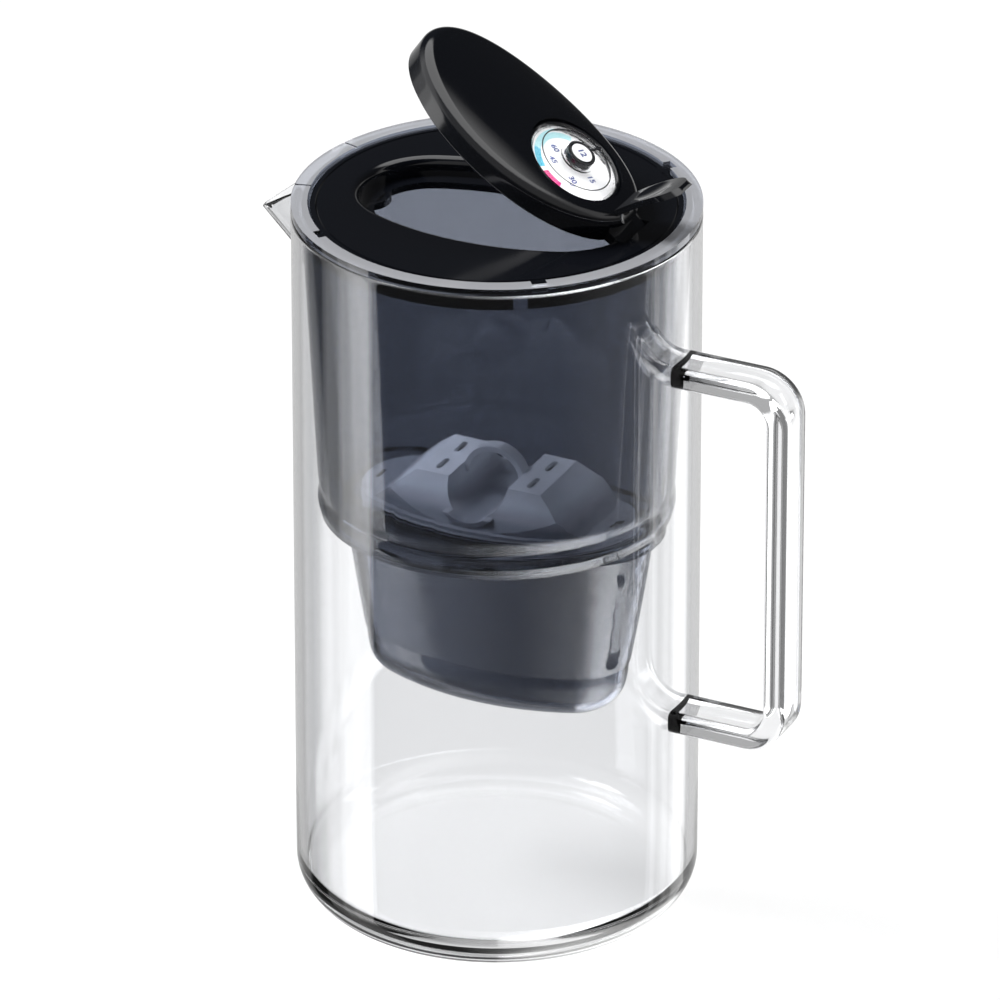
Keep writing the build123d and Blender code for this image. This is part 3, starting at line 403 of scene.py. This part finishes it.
def turn_foot_in(x, y, z):
    outward = sqrt(x * x + y * y)
    if outward <= ROUND_WALL_R or not FOOT_EDGE < z < SLIM_FROM:
        return x, y
    slim = FOOT_SLIM * (SLIM_FROM - z) / (SLIM_FROM - HOPPER_FOOT)
    turn_in = FOOT_TURN * clamp(1 - (z - HOPPER_FOOT) / FOOT_TURN_HEIGHT) ** FOOT_TURN_POWER
    share = 1 - (slim + turn_in) / outward
    return x * share, y * share


def pocket_swell(x, y, z):
    """Factor on x and y: over 1 at the pocket's mouth, under 1 at its foot."""
    depth = clamp((POCKET_TOP - z) / (POCKET_TOP - POCKET_FOOT))
    share = MOUTH_SWELL * (1 - DRAW_IN * depth ** DRAW_POWER)
    room = clamp((HOPPER_REACH - sqrt(x * x + y * y)) / REACH_FADE)
    above = clamp((z - SWELL_TOP) / SWELL_FADE)
    return 1 + share * room * (1 - above)


for vertex in hopper.data.vertices:
    x, y = turn_foot_in(*vertex.co)
    swell = pocket_swell(x, y, vertex.co.z)
    vertex.co = (x * swell, y * swell, vertex.co.z)
print("hopper's width", round(hopper.dimensions.x, 4))

# %% [markdown]
# The flange lies on the glass as a flat ring. Only its upper faces get the lighter smoke,
# so that the wall under it stays as dark as the rest of the hopper.

# %% Give the hopper's flange its lighter smoke
FLANGE_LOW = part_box("jug_body")[1].z - 0.0002
UPWARD = 0.3

hopper.data.materials.append(smoke_rim)
rim_faces = [face for face in hopper.data.polygons
             if face.center.z > FLANGE_LOW and face.normal.z > UPWARD]
for face in rim_faces:
    face.material_index = 1
print(len(rim_faces), "faces on the flange")

# %% [markdown]
# The seal, the sieves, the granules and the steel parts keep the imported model's own mesh.
# They are small or hidden, so a new finish in their slots is all that they need.

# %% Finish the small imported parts
hidden_parts = [
    ("cartridge_seal", soft_seal), ("inlet_screen", sieve), ("outlet_screen", sieve),
    ("filter_media", granules), ("cover_screws", steel), ("axle_clip", steel)]
for node, material in hidden_parts:
    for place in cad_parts[node].material_slots:
        place.material = material
print(len(hidden_parts), "small parts finished")

# %% [markdown]
# ## The glass handle
# The handle is one bar of glass bent twice. It follows a path, so Geometry Nodes make it:
# a line through four corners gets its bends from Fillet Curve, and a rounded oblong runs
# along it. Near both roots the bar swells, as hot glass does where it is pressed on.

# %% Small helpers for node trees
def new_tree(name, sockets):
    tree = bpy.data.node_groups.new(name, "GeometryNodeTree")
    tree.interface.new_socket("Geometry", in_out="INPUT", socket_type="NodeSocketGeometry")
    tree.interface.new_socket("Geometry", in_out="OUTPUT", socket_type="NodeSocketGeometry")
    for socket, kind in sockets.items():
        tree.interface.new_socket(socket, in_out="INPUT", socket_type=kind)
    return tree, tree.nodes.new("NodeGroupInput"), tree.nodes.new("NodeGroupOutput")


def evaluated_mesh(item):
    view = bpy.context.evaluated_depsgraph_get()
    return bpy.data.meshes.new_from_object(item.evaluated_get(view))


def run_tree(piece, tree, values):
    """Evaluate the tree on a piece and keep the result as a plain mesh."""
    modifier = piece.modifiers.new("tree", "NODES")
    modifier.node_group = tree
    for item in tree.interface.items_tree:
        if item.in_out == "INPUT" and item.name in values:
            modifier[item.identifier] = values[item.name]
    mesh = evaluated_mesh(piece)
    name = piece.name
    bpy.data.objects.remove(piece)
    mesh.name = name
    return add_object(name, mesh)


# %% Draw the handle's path
jug_low, jug_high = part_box("jug_body")
handle_low, handle_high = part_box("jug_handle")
GLASS_R = jug_high.y
HANDLE_WIDTH = 0.017
HANDLE_THICK = 0.008
UPPER_BAR_Z = 0.211
LOWER_BAR_Z = 0.081
ROOT_SUNK = 0.0015

root_x = GLASS_R - ROOT_SUNK
reach_x = handle_high.x - HANDLE_THICK / 2
corners = ((root_x, UPPER_BAR_Z), (reach_x, UPPER_BAR_Z), (reach_x, LOWER_BAR_Z),
           (root_x, LOWER_BAR_Z))
line = bpy.data.curves.new("handle_path", "CURVE")
line.dimensions = "3D"
run = line.splines.new("POLY")
run.points.add(len(corners) - 1)
for point, (x, z) in zip(run.points, corners):
    point.co = (x, 0, z, 1)
handle_curve = add_object("glass_handle", line)
print("handle path reaches", round(reach_x, 4))

# %% Build the handle's tree: path and swelling
handle_tree, given, result = new_tree("handle_tree", {
    "Width": "NodeSocketFloat", "Thickness": "NodeSocketFloat", "Bend": "NodeSocketFloat",
    "Edge": "NodeSocketFloat", "Swell": "NodeSocketFloat", "Root length": "NodeSocketFloat",
    "Material": "NodeSocketMaterial"})
bent = add_node(handle_tree, "GeometryNodeFilletCurve", {
    "Curve": given.outputs["Geometry"], "Radius": given.outputs["Bend"], "Count": 20}, mode="POLY")
even = add_node(handle_tree, "GeometryNodeResampleCurve", {
    "Curve": bent.outputs["Curve"], "Length": 0.0011}, mode="LENGTH")
along = add_node(handle_tree, "GeometryNodeSplineParameter")
whole = add_node(handle_tree, "GeometryNodeSplineLength")
rest = arithmetic(handle_tree, "SUBTRACT", whole.outputs["Length"], along.outputs["Length"])
near_end = arithmetic(handle_tree, "MINIMUM", along.outputs["Length"], rest)
fade = add_node(handle_tree, "ShaderNodeMapRange", {
    "Value": near_end, "From Min": 0.0, "From Max": given.outputs["Root length"],
    "To Min": given.outputs["Swell"], "To Max": 1.0}, interpolation_type="SMOOTHERSTEP")
swollen = add_node(handle_tree, "GeometryNodeSetCurveRadius", {
    "Curve": even.outputs["Curve"], "Radius": fade.outputs["Result"]})
print("path and swelling take", len(handle_tree.nodes), "nodes")

# %% Build the handle's tree: the bar round the path
oblong = add_node(handle_tree, "GeometryNodeCurvePrimitiveQuadrilateral", {
    "Width": given.outputs["Width"], "Height": given.outputs["Thickness"]}, mode="RECTANGLE")
oblong_round = add_node(handle_tree, "GeometryNodeFilletCurve", {
    "Curve": oblong.outputs["Curve"], "Radius": given.outputs["Edge"], "Count": 7}, mode="POLY")
bar = add_node(handle_tree, "GeometryNodeCurveToMesh", {
    "Curve": swollen.outputs["Curve"], "Profile Curve": oblong_round.outputs["Curve"],
    "Fill Caps": True})
real = add_node(handle_tree, "GeometryNodeRealizeInstances", {"Geometry": bar.outputs["Mesh"]})
dressed_bar = add_node(handle_tree, "GeometryNodeSetMaterial", {
    "Geometry": real.outputs["Geometry"], "Material": given.outputs["Material"]})
handle_tree.links.new(dressed_bar.outputs["Geometry"], result.inputs["Geometry"])

handle = run_tree(handle_curve, handle_tree, {
    "Width": HANDLE_WIDTH, "Thickness": HANDLE_THICK, "Bend": 0.011, "Edge": 0.0022,
    "Swell": 1.36, "Root length": 0.0085, "Material": glass})
print("handle", [round(v, 4) for v in handle.dimensions], len(handle.data.polygons), "faces")

# %% [markdown]
# ## The glass body
# The body is a hollow of revolution with one exception, the pouring lip. So it is built
# as rings of points: each ring is a circle, and over the lip's small angle the points are
# pulled outwards along their ray and the rim sinks. Inside and outside walls are two such
# skins joined at a rounded rim, which makes the glass a closed solid with a real
# thickness. Light then bends in it by itself.

# %% Plan of the lip
GLASS_WALL = 0.003
RIM_Z = jug_high.z
LIP_HALF_ANGLE = radians(15.5)
LIP_REACH = 0.019
LIP_DROP = 0.0155
LIP_HEIGHT = 0.034
LIP_ROOT_DEPTH = 0.006  # its sides meet inside the wall
LIP_FOOT_REACH = 0.001
LIP_FOOT_WIDTH = 0.3
LIP_NOSE = 0.0042
LIP_WALL = 0.0024
LIP_BLEND = 0.0012
LIP_LOW = RIM_Z - LIP_HEIGHT
EDGE_ROUND = 0.0011


def lip_side(z, inset):
    """Half width at the root, reach and nose radius of the lip's plan at one height."""
    share = (z - LIP_LOW) / LIP_HEIGHT
    spread_top = (GLASS_R - inset) * sin(LIP_HALF_ANGLE)
    widening = (LIP_REACH - LIP_FOOT_REACH) / (LIP_HEIGHT - LIP_DROP)
    top_reach = GLASS_R + LIP_REACH + widening * (LIP_DROP + EDGE_ROUND) - inset
    low_reach = GLASS_R + LIP_FOOT_REACH - inset
    half = spread_top * (LIP_FOOT_WIDTH + (1 - LIP_FOOT_WIDTH) * share)
    return half, low_reach + (top_reach - low_reach) * share, LIP_NOSE - inset * 0.6


def lip_radius(angle, z, inset, wall_r):
    """Distance from the axis to the skin along a ray, angle measured from the spout."""
    if z <= LIP_LOW or abs(angle) > 2 * LIP_HALF_ANGLE:
        return wall_r
    half, reach, nose = lip_side(z, inset)
    root = GLASS_R - GLASS_WALL - LIP_ROOT_DEPTH
    lean = atan2(half - nose, reach - nose - root)
    side_x, side_y = reach - nose + nose * sin(lean), nose * cos(lean)
    c, s = cos(angle), abs(sin(angle))
    slope = (side_y - half) / (side_x - root)
    out = (half - slope * root) / (s - slope * c)
    if out * c > side_x:
        centre = reach - nose
        out = centre * c + sqrt(max(nose * nose - (centre * s) ** 2, 0.0))
    gap = out - wall_r
    if gap <= -4 * LIP_BLEND:
        return wall_r
    return wall_r + 0.5 * (gap + sqrt(gap * gap + LIP_BLEND * LIP_BLEND))


# %% [markdown]
# The rim sinks where the lip reaches out. How far it reaches depends on the height, and
# the height on the reach, so both are found together by small steps that soon settle.

# %% Height of the rim along a ray
SETTLING_STEPS = 40


def lip_top(angle):
    start_x = GLASS_R * cos(LIP_HALF_ANGLE)
    slope = LIP_DROP / (GLASS_R + LIP_REACH - start_x)
    z = RIM_Z
    for _ in range(SETTLING_STEPS):
        out = lip_radius(angle, z, 0.0, GLASS_R) * cos(angle)
        wanted = RIM_Z - max(0.0, out - start_x) * slope
        z = z + 0.5 * (wanted - z)
    return z


print("rim sinks to", round(lip_top(0.0), 4), "at the lip's tip")

# %% [markdown]
# Each skin is a list of rows, from the middle of the floor round the corner and up the
# wall. A row in the lip's zone has no height of its own, only its share of the way up,
# because the rim over it sinks. The columns crowd at the lip, where the wall bends most.

# %% Rows of the two skins
COLUMNS = 384
CROWDING = 0.62
BASE_THICK = 0.008
OUTER_CORNER = 0.014
INNER_CORNER = 0.009
FLOOR_ROWS = 14
PLAIN_ROWS = 8
LIP_ROWS = 30


def column_angles():
    """Angles from the spout, all the way round."""
    turns = [-pi + 2 * pi * i / COLUMNS for i in range(COLUMNS)]
    return [turn - CROWDING * sin(turn) for turn in turns]


def skin_rows(wall_r, floor_z, corner, corner_rows):
    """(radius, height, share of the way up the lip zone) from the middle of the floor up."""
    flat = [wall_r * k / FLOOR_ROWS for k in range(1, FLOOR_ROWS)]
    rows = [(r, floor_z, None) for r in flat if r < wall_r - corner]
    for k in range(corner_rows + 1):
        a = radians(90) * k / corner_rows
        rows.append((wall_r - corner + corner * sin(a), floor_z + corner - corner * cos(a), None))
    for k in range(1, PLAIN_ROWS + 1):
        rise = (LIP_LOW - floor_z - corner) * k / PLAIN_ROWS
        rows.append((wall_r, floor_z + corner + rise, None))
    return rows + [(wall_r, None, (k + 1) / LIP_ROWS) for k in range(LIP_ROWS)]


angles = column_angles()
outer_rows = skin_rows(GLASS_R, 0.0, OUTER_CORNER, 14)
inner_rows = skin_rows(GLASS_R - GLASS_WALL, BASE_THICK, INNER_CORNER, 12)
print(len(outer_rows), "rows outside and", len(inner_rows), "inside")

# %% Rings of points
RIM_STEPS = 8


def skin_rings(shell, rows, tops, inset):
    rings = []
    for r, z, share in rows:
        ring = []
        for a, top in zip(angles, tops):
            height = z if share is None else LIP_LOW + (top - EDGE_ROUND - LIP_LOW) * share
            out = r if share is None else lip_radius(a, height, inset, r)
            ring.append(shell.verts.new((-out * cos(a), -out * sin(a), height)))
        rings.append(ring)
    return rings


def rim_rings(shell, outer_ring, inner_ring):
    """Half a round that leads from the outer skin's top over to the inner one's."""
    rings = []
    for k in range(1, RIM_STEPS):
        turn = radians(180) * k / RIM_STEPS
        ring = []
        for outside, inside in zip(outer_ring, inner_ring):
            middle, half = (outside.co + inside.co) / 2, (outside.co - inside.co) / 2
            spot = middle + half * cos(turn)
            rise = min(EDGE_ROUND, half.length) * sin(turn)
            ring.append(shell.verts.new((spot.x, spot.y, spot.z + rise)))
        rings.append(ring)
    return rings


# %% Join the rings into closed glass
def piece_from(shell, name):
    """Turn a finished shell into a piece, with its faces pointing outwards."""
    bmesh.ops.recalc_face_normals(shell, faces=shell.faces)
    mesh = bpy.data.meshes.new(name)
    shell.to_mesh(mesh)
    shell.free()
    return add_object(name, mesh)


def close_row(shell, one, two):
    for i in range(len(one)):
        j = (i + 1) % len(one)
        shell.faces.new((one[i], one[j], two[j], two[i]))


def close_floor(shell, ring, height):
    centre = shell.verts.new((0, 0, height))
    for i in range(len(ring)):
        shell.faces.new((ring[i], ring[(i + 1) % len(ring)], centre))


def make_body():
    shell = bmesh.new()
    tops = [lip_top(a) for a in angles]
    outside = skin_rings(shell, outer_rows, tops, 0.0)
    inside = skin_rings(shell, inner_rows[::-1], tops, LIP_WALL)
    rings = outside + rim_rings(shell, outside[-1], inside[0]) + inside
    for one, two in zip(rings, rings[1:]):
        close_row(shell, one, two)
    close_floor(shell, rings[0], 0.0)
    close_floor(shell, rings[-1], BASE_THICK)
    return piece_from(shell, "glass_jug")


jug = make_body()
jug.data.shade_smooth()
print("glass body", len(jug.data.polygons), "faces", [round(v, 4) for v in jug.dimensions])

# %% [markdown]
# On the real jug body and handle are one piece of glass. Two glass shapes that only touch
# would show a false seam, so the handle is fused into the wall by an exact Boolean.

# %% Fuse handle and body
GLASS_CREASE = radians(40)


def fuse(piece, other):
    modifier = piece.modifiers.new("fuse", "BOOLEAN")
    modifier.operation = "UNION"
    modifier.solver = "EXACT"
    modifier.object = other
    mesh = evaluated_mesh(piece)
    piece.modifiers.clear()
    piece.data = mesh
    bpy.data.objects.remove(other)


fuse(jug, handle)
shade_with_creases(jug.data, GLASS_CREASE)
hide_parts("jug_body", "jug_handle")
finish_piece(jug, "jug", glass)
print("fused glass", len(jug.data.polygons), "faces")

# %% [markdown]
# ## The dial's print
# The card carries coloured bands and plain numbers. A thin dark circle over it is painted
# shade, standing for the groove at the rim of the clear cap. They are thin pieces of their own
# that lie on the card. Everything is drawn for the closed lid, where the card is level, and
# then swung open about the hinge together with the lid.

# %% Swing from closed to open
HINGE = Vector((0.049, 0, 0.255))
OPEN_ANGLE = radians(35)
SWING = Matrix.Translation(HINGE) @ Matrix.Rotation(OPEN_ANGLE, 4, "Y") @ Matrix.Translation(-HINGE)
PRINT_LIFT = 0.00003
DIAL = Vector((0.0186, 0, 0.2613 + PRINT_LIFT))
WINDOW_TOP = 0.0029
KNOB_TOP = 0.00645
print("card's middle when open", [round(v, 4) for v in SWING @ DIAL])


def lay_on_card(piece, material, lift=0.0, body="flip"):
    piece.data.transform(SWING @ Matrix.Translation(DIAL + Vector((0, 0, lift))))
    return finish_piece(piece, body, material)


# %% [markdown]
# A printed band is drawn as a flat arc with a hair's thickness: four corners make its
# section, and the section turns about the dial's middle in steps of three degrees.

# %% Draw a band
PRINT_THICK = 0.00004
STEP_DEGREES = 3


def band(name, radius, width, start, end):
    """Flat arc of a ring, angles in degrees anticlockwise from the handle's side."""
    shell = bmesh.new()
    steps = int((end - start) / STEP_DEGREES)
    closed = end - start >= 360
    corners = ((radius, 0), (radius + width, 0), (radius + width, PRINT_THICK),
               (radius, PRINT_THICK))
    rows = []
    for k in range(steps if closed else steps + 1):
        a = radians(start + (end - start) * k / steps)
        rows.append([shell.verts.new((r * cos(a), r * sin(a), z)) for r, z in corners])
    for one, two in zip(rows, rows[1:] + (rows[:1] if closed else [])):
        close_row(shell, one, two)
    if not closed:
        shell.faces.new(rows[0])
        shell.faces.new(rows[-1])
    return piece_from(shell, name)


# %% [markdown]
# The prints are flat inks, a little duller than the card. The thin dark circle is painted shade
# for the groove at the clear cap's rim and lies on that cap over the card, and a pale disc
# covers the knob, so they are bands as well.

# %% Print the bands
def print_colour(name, colour, haze_low=0.35, haze_high=0.5):
    material = new_material(name, Base_Color=colour)
    add_haze(material, 150.0, haze_low, haze_high)
    return material


cyan = print_colour("cyan_print", (0.0, 0.42, 0.6, 1))
pale_cyan = print_colour("pale_cyan_print", (0.42, 0.72, 0.76, 1))
magenta = print_colour("magenta_print", (0.6, 0.0, 0.16, 1))
blue_grey = print_colour("number_print", (0.03, 0.05, 0.22, 1), 0.4, 0.6)

BAND_R = 0.0118
BAND_WIDTH = 0.0026
for name, start, end, colour in (("pale_band", 122, 205, pale_cyan), ("cyan_band", 205, 242, cyan),
                                 ("magenta_band", 250, 281, magenta)):
    lay_on_card(band(name, BAND_R, BAND_WIDTH, start, end), colour)
# painted shade: a black ring on the clear cap stands for the shade in the groove at its rim
lay_on_card(band("window_line", 0.0130, 0.00045, 0, 360), black_matte, WINDOW_TOP)
lay_on_card(band("knob_face", 0.0, 0.0039, 0, 360), white_print, KNOB_TOP, "dial")
print("bands from radius", BAND_R, "to", BAND_R + BAND_WIDTH)

# %% [markdown]
# The numbers are plain counts of days. Text is made a mesh before it is placed, and it
# stands a little turned, as on the card. The number on the knob turns with the knob.

# %% Plain numbers
NUMBER_SIZE = 0.0033
KNOB_NUMBER_SIZE = 0.0035
NUMBER_TURN = radians(-20)
NUMBER_CIRCLE = 0.0081
KNOB_NUMBER_LIFT = 0.00005


def number(text, radius, angle, lift=PRINT_LIFT, body="flip", height=NUMBER_SIZE):
    letters = bpy.data.curves.new("number_" + text, "FONT")
    letters.body = text
    letters.size = height
    letters.align_x = "CENTER"
    letters.align_y = "CENTER"
    letters.extrude = 0.00002
    letters.offset = 0.00008
    source = add_object("number_" + text, letters)
    mesh = evaluated_mesh(source)
    bpy.data.objects.remove(source)
    piece = add_object("number_" + text, mesh)
    a = radians(angle)
    spot = Matrix.Translation((radius * cos(a), radius * sin(a), 0))
    mesh.transform(spot @ Matrix.Rotation(NUMBER_TURN, 4, "Z"))
    return lay_on_card(piece, blue_grey, lift, body)


for text, angle in (("60", 180), ("45", 227), ("30", 300), ("15", 5)):
    number(text, NUMBER_CIRCLE, angle)
number("12", 0.0, 0, KNOB_TOP + KNOB_NUMBER_LIFT, "dial", KNOB_NUMBER_SIZE)
print("numbers", NUMBER_SIZE / MM, "mm high")

# %% [markdown]
# ## Floor
# The jug stands on a plain white floor in front of nothing. The floor looks white to the
# camera and through the glass, but it still takes a share of real light, which keeps the
# jug's soft shadow. Mirrored rays pass through it, so that the glass shows the studio.

# %% Ask a ray what it has met
def looks_straight(tree, path):
    """1 for the camera's own rays and for what shows through the glass."""
    return arithmetic(tree, "MAXIMUM", path.outputs["Is Camera Ray"],
                      path.outputs["Is Transmission Ray"])


def mirrored_over(tree, path, times):
    return arithmetic(tree, "GREATER_THAN", path.outputs["Glossy Depth"], times)


# %% Floor
FLOOR_SHARE = 0.86
FLOOR_HALF = 6
FLOOR_Z = -0.0002

floor_mesh = bpy.data.meshes.new("floor")
floor_mesh.from_pydata([(x * FLOOR_HALF, y * FLOOR_HALF, FLOOR_Z)
                        for x, y in ((-1, -1), (1, -1), (1, 1), (-1, 1))], [], [(0, 1, 2, 3)])
floor = add_object("floor", floor_mesh)
floor_material = new_material("floor_white", Base_Color=(0.9, 0.9, 0.9, 1), Roughness=0.9)
floor.data.materials.append(floor_material)

tree = floor_material.node_tree
path = add_node(tree, "ShaderNodeLightPath")
glow = add_node(tree, "ShaderNodeEmission", {"Strength": 1.0})
white_floor = add_node(tree, "ShaderNodeMixShader", {
    "Fac": arithmetic(tree, "MULTIPLY", looks_straight(tree, path), FLOOR_SHARE),
    1: shader_of(floor_material).outputs["BSDF"], 2: glow.outputs["Emission"]})
see_through = add_node(tree, "ShaderNodeBsdfTransparent")
floor_mix = add_node(tree, "ShaderNodeMixShader", {
    "Fac": mirrored_over(tree, path, 0.5), 1: white_floor.outputs["Shader"],
    2: see_through.outputs["BSDF"]})
tree.links.new(floor_mix.outputs["Shader"], tree.nodes["Material Output"].inputs["Surface"])
print("floor", 2 * FLOOR_HALF, "m wide")

# %% [markdown]
# ## Studio
# Glass and polished plastic show what stands around them, so the studio is drawn there: a
# tall soft box on the left, a pale screen with narrow strips on the right, and darkness
# behind, which keeps the black lid black. The camera looks down, so an upright wall
# mirrors what lies below the horizon, and the boxes reach down that far. The pocket's
# sloping walls mirror what lies steeply below, and the lids what stands high.

# %% Brightness of the studio by bearing
# (degrees from the camera's side, positive to the right in the picture, and brightness)
LOW_STUDIO = (
    (-180, 0.8), (-150, 0.55), (-138, 0.45), (-134, 0.06), (-116, 0.06), (-114.5, 0.6),
    (-101.5, 0.8), (-100, 1.6), (-92, 1.8), (-90.5, 2.6), (-77.2, 2.6), (-76, 0.05),
    (36, 0.06), (61, 0.16), (82, 0.2), (98.5, 0.28), (99.2, 1.5), (102.5, 1.5),
    (103.2, 0.7), (108.5, 0.7), (112, 1.7), (114, 1.7), (115, 1.3), (120, 1.3),
    (122, 2.2), (136, 2.2), (138, 0.9), (144, 0.7), (180, 0.8))
STEEP_STUDIO = (
    (-180, 0.6), (-140, 0.4), (-116, 0.3), (-100, 1.0), (-77, 1.0), (-70, 0.3),
    (-30, 0.3), (0, 1.6), (20, 3.8), (37, 7.0), (60, 8.0), (80, 6.0), (95, 4.0),
    (140, 4.0), (180, 0.9))
HIGH_STUDIO = (
    (-180, 0.03), (-140, 0.03), (-125, 0.5), (-110, 1.4), (-70, 1.4), (-55, 0.5),
    (50, 0.5), (60, 1.0), (85, 1.0), (98, 0.04), (180, 0.03))
BRIGHTEST = 8.0
print("studio with", len(LOW_STUDIO), "low and", len(HIGH_STUDIO), "high steps")

# %% [markdown]
# Every ray that leaves the scene asks the world for its brightness. The ray's direction,
# measured along the camera's two level axes, gives its bearing round the jug, and its
# upright part is its rise. The camera's own place plays no part in it, so the studio
# stands still when the view moves.

# %% Find where a ray goes
world = bpy.data.worlds.new("studio")
world.use_nodes = True
bpy.context.scene.world = world
tree = world.node_tree
tree.nodes.clear()
direction = add_node(tree, "ShaderNodeTexCoord").outputs["Generated"]
side, right = [
    add_node(tree, "ShaderNodeVectorMath", {0: direction, 1: axis}, operation="DOT_PRODUCT")
    for axis in (camera_side, camera_right)]
rise = add_node(tree, "ShaderNodeSeparateXYZ", {"Vector": direction}).outputs["Z"]
bearing = arithmetic(tree, "ARCTAN2", right.outputs["Value"], side.outputs["Value"])
share_of_turn = add_node(tree, "ShaderNodeMath", {0: bearing, 1: 0.5 / pi, 2: 0.5},
                         operation="MULTIPLY_ADD").outputs[0]


# %% Draw the studio's three bands
def grey(brightness):
    return (brightness / BRIGHTEST,) * 3 + (1,)


def by_bearing(stops):
    """Brightness by bearing, as a ramp that starts and ends straight behind the jug."""
    ramp = add_node(tree, "ShaderNodeValToRGB", {"Fac": share_of_turn})
    points = ramp.color_ramp.elements
    while len(points) < len(stops):
        points.new(0.5)
    for point, (degrees, brightness) in zip(points, stops):
        point.position = degrees / 360 + 0.5
        point.color = grey(brightness)
    return ramp.outputs["Color"]


def fade_between(start, end):
    """0 to 1 as a ray's rise goes from start to end."""
    return add_node(tree, "ShaderNodeMapRange", {
        "Value": rise, "From Min": start, "From Max": end, "To Min": 0.0, "To Max": 1.0},
        interpolation_type="SMOOTHSTEP").outputs["Result"]


def sloped_mix(share, first, second):
    return add_node(tree, "ShaderNodeMix", {0: share, 6: first, 7: second},
                    data_type="RGBA").outputs[2]


# %% [markdown]
# What hangs over the jug is one large bright box. Surfaces under the glass see the high
# band through it much evened out, so there it fades towards a plain grey.

# %% Mix the bands by height
OVERHEAD = 3.0
UNDER_GLASS = 0.6
UNDER_GLASS_SHARE = 0.8

depths = add_node(tree, "ShaderNodeLightPath")
inside_glass = arithmetic(tree, "GREATER_THAN", depths.outputs["Transmission Depth"], 0.5)
below = sloped_mix(fade_between(-0.56, -0.64), by_bearing(LOW_STUDIO), by_bearing(STEEP_STUDIO))
above = sloped_mix(arithmetic(tree, "MULTIPLY", inside_glass, UNDER_GLASS_SHARE),
                   by_bearing(HIGH_STUDIO), grey(UNDER_GLASS))
upward = sloped_mix(fade_between(-0.1, 0.2), below, above)
overhead = sloped_mix(fade_between(0.72, 0.82), upward, grey(OVERHEAD))

# %% [markdown]
# Each kind of ray meets its own surroundings. The camera and what shows through the glass
# meet plain white. Soft light is an even, weaker white, at which colours look as written.
# A ray that was mirrored once meets the studio, and one that was mirrored more often, deep
# in the glass, mostly a pale grey, because real glass never shows such rays quite black.

# %% Surroundings for each kind of ray
EVEN_LIGHT = 0.45
PALE_LIGHT = 0.55
PALE_SHARE = 0.7


def plain_white(strength):
    return add_node(tree, "ShaderNodeBackground", {
        "Color": (1, 1, 1, 1), "Strength": strength}).outputs["Background"]


path = add_node(tree, "ShaderNodeLightPath")
studio = add_node(tree, "ShaderNodeBackground", {"Color": overhead, "Strength": BRIGHTEST})
direct = add_node(tree, "ShaderNodeMixShader", {
    "Fac": looks_straight(tree, path), 1: plain_white(EVEN_LIGHT), 2: plain_white(1.0)})
mirrors = add_node(tree, "ShaderNodeMixShader", {
    "Fac": arithmetic(tree, "MULTIPLY", mirrored_over(tree, path, 1.5), PALE_SHARE),
    1: studio.outputs["Background"], 2: plain_white(PALE_LIGHT)})
seen = add_node(tree, "ShaderNodeMixShader", {
    "Fac": mirrored_over(tree, path, 0.5), 1: direct.outputs["Shader"],
    2: mirrors.outputs["Shader"]})
add_node(tree, "ShaderNodeOutputWorld", {"Surface": seen.outputs["Shader"]})
print("world with", len(tree.nodes), "nodes")

# %% [markdown]
# ## Lamps
# Three soft lamps model the solid pieces: a strong one from the left, and weak ones from
# the right and from above. They don't show in mirrors, because the studio does that.

# %% Lamps
LAMP_AIM = Vector((0, 0, 0.15))
# (name, degrees from the camera's side, height, distance, width, length, watts)
LAMPS = (
    ("soft_left", -100, 1.5, 1.05, 0.6, 0.6, 50.0),
    ("soft_right", 100, 0.6, 1.3, 0.4, 0.9, 4.0),
    ("soft_top", 120, 1.5, 0.6, 0.8, 0.6, 5.0))

for name, degrees, height, distance, width, length, watts in LAMPS:
    turn = radians(degrees)
    spot = (camera_side * cos(turn) + camera_right * sin(turn)) * distance + Vector((0, 0, height))
    data = bpy.data.lights.new(name, "AREA")
    data.shape = "RECTANGLE"
    data.size = width
    data.size_y = length
    data.energy = watts
    lamp = add_object(name, data)
    aim = (LAMP_AIM - spot).to_track_quat("-Z", "Y")
    lamp.matrix_world = Matrix.Translation(spot) @ aim.to_matrix().to_4x4()
    lamp.visible_glossy = False
    print(name, [round(v, 2) for v in spot])

bpy.context.scene.view_settings.view_transform = "Standard"
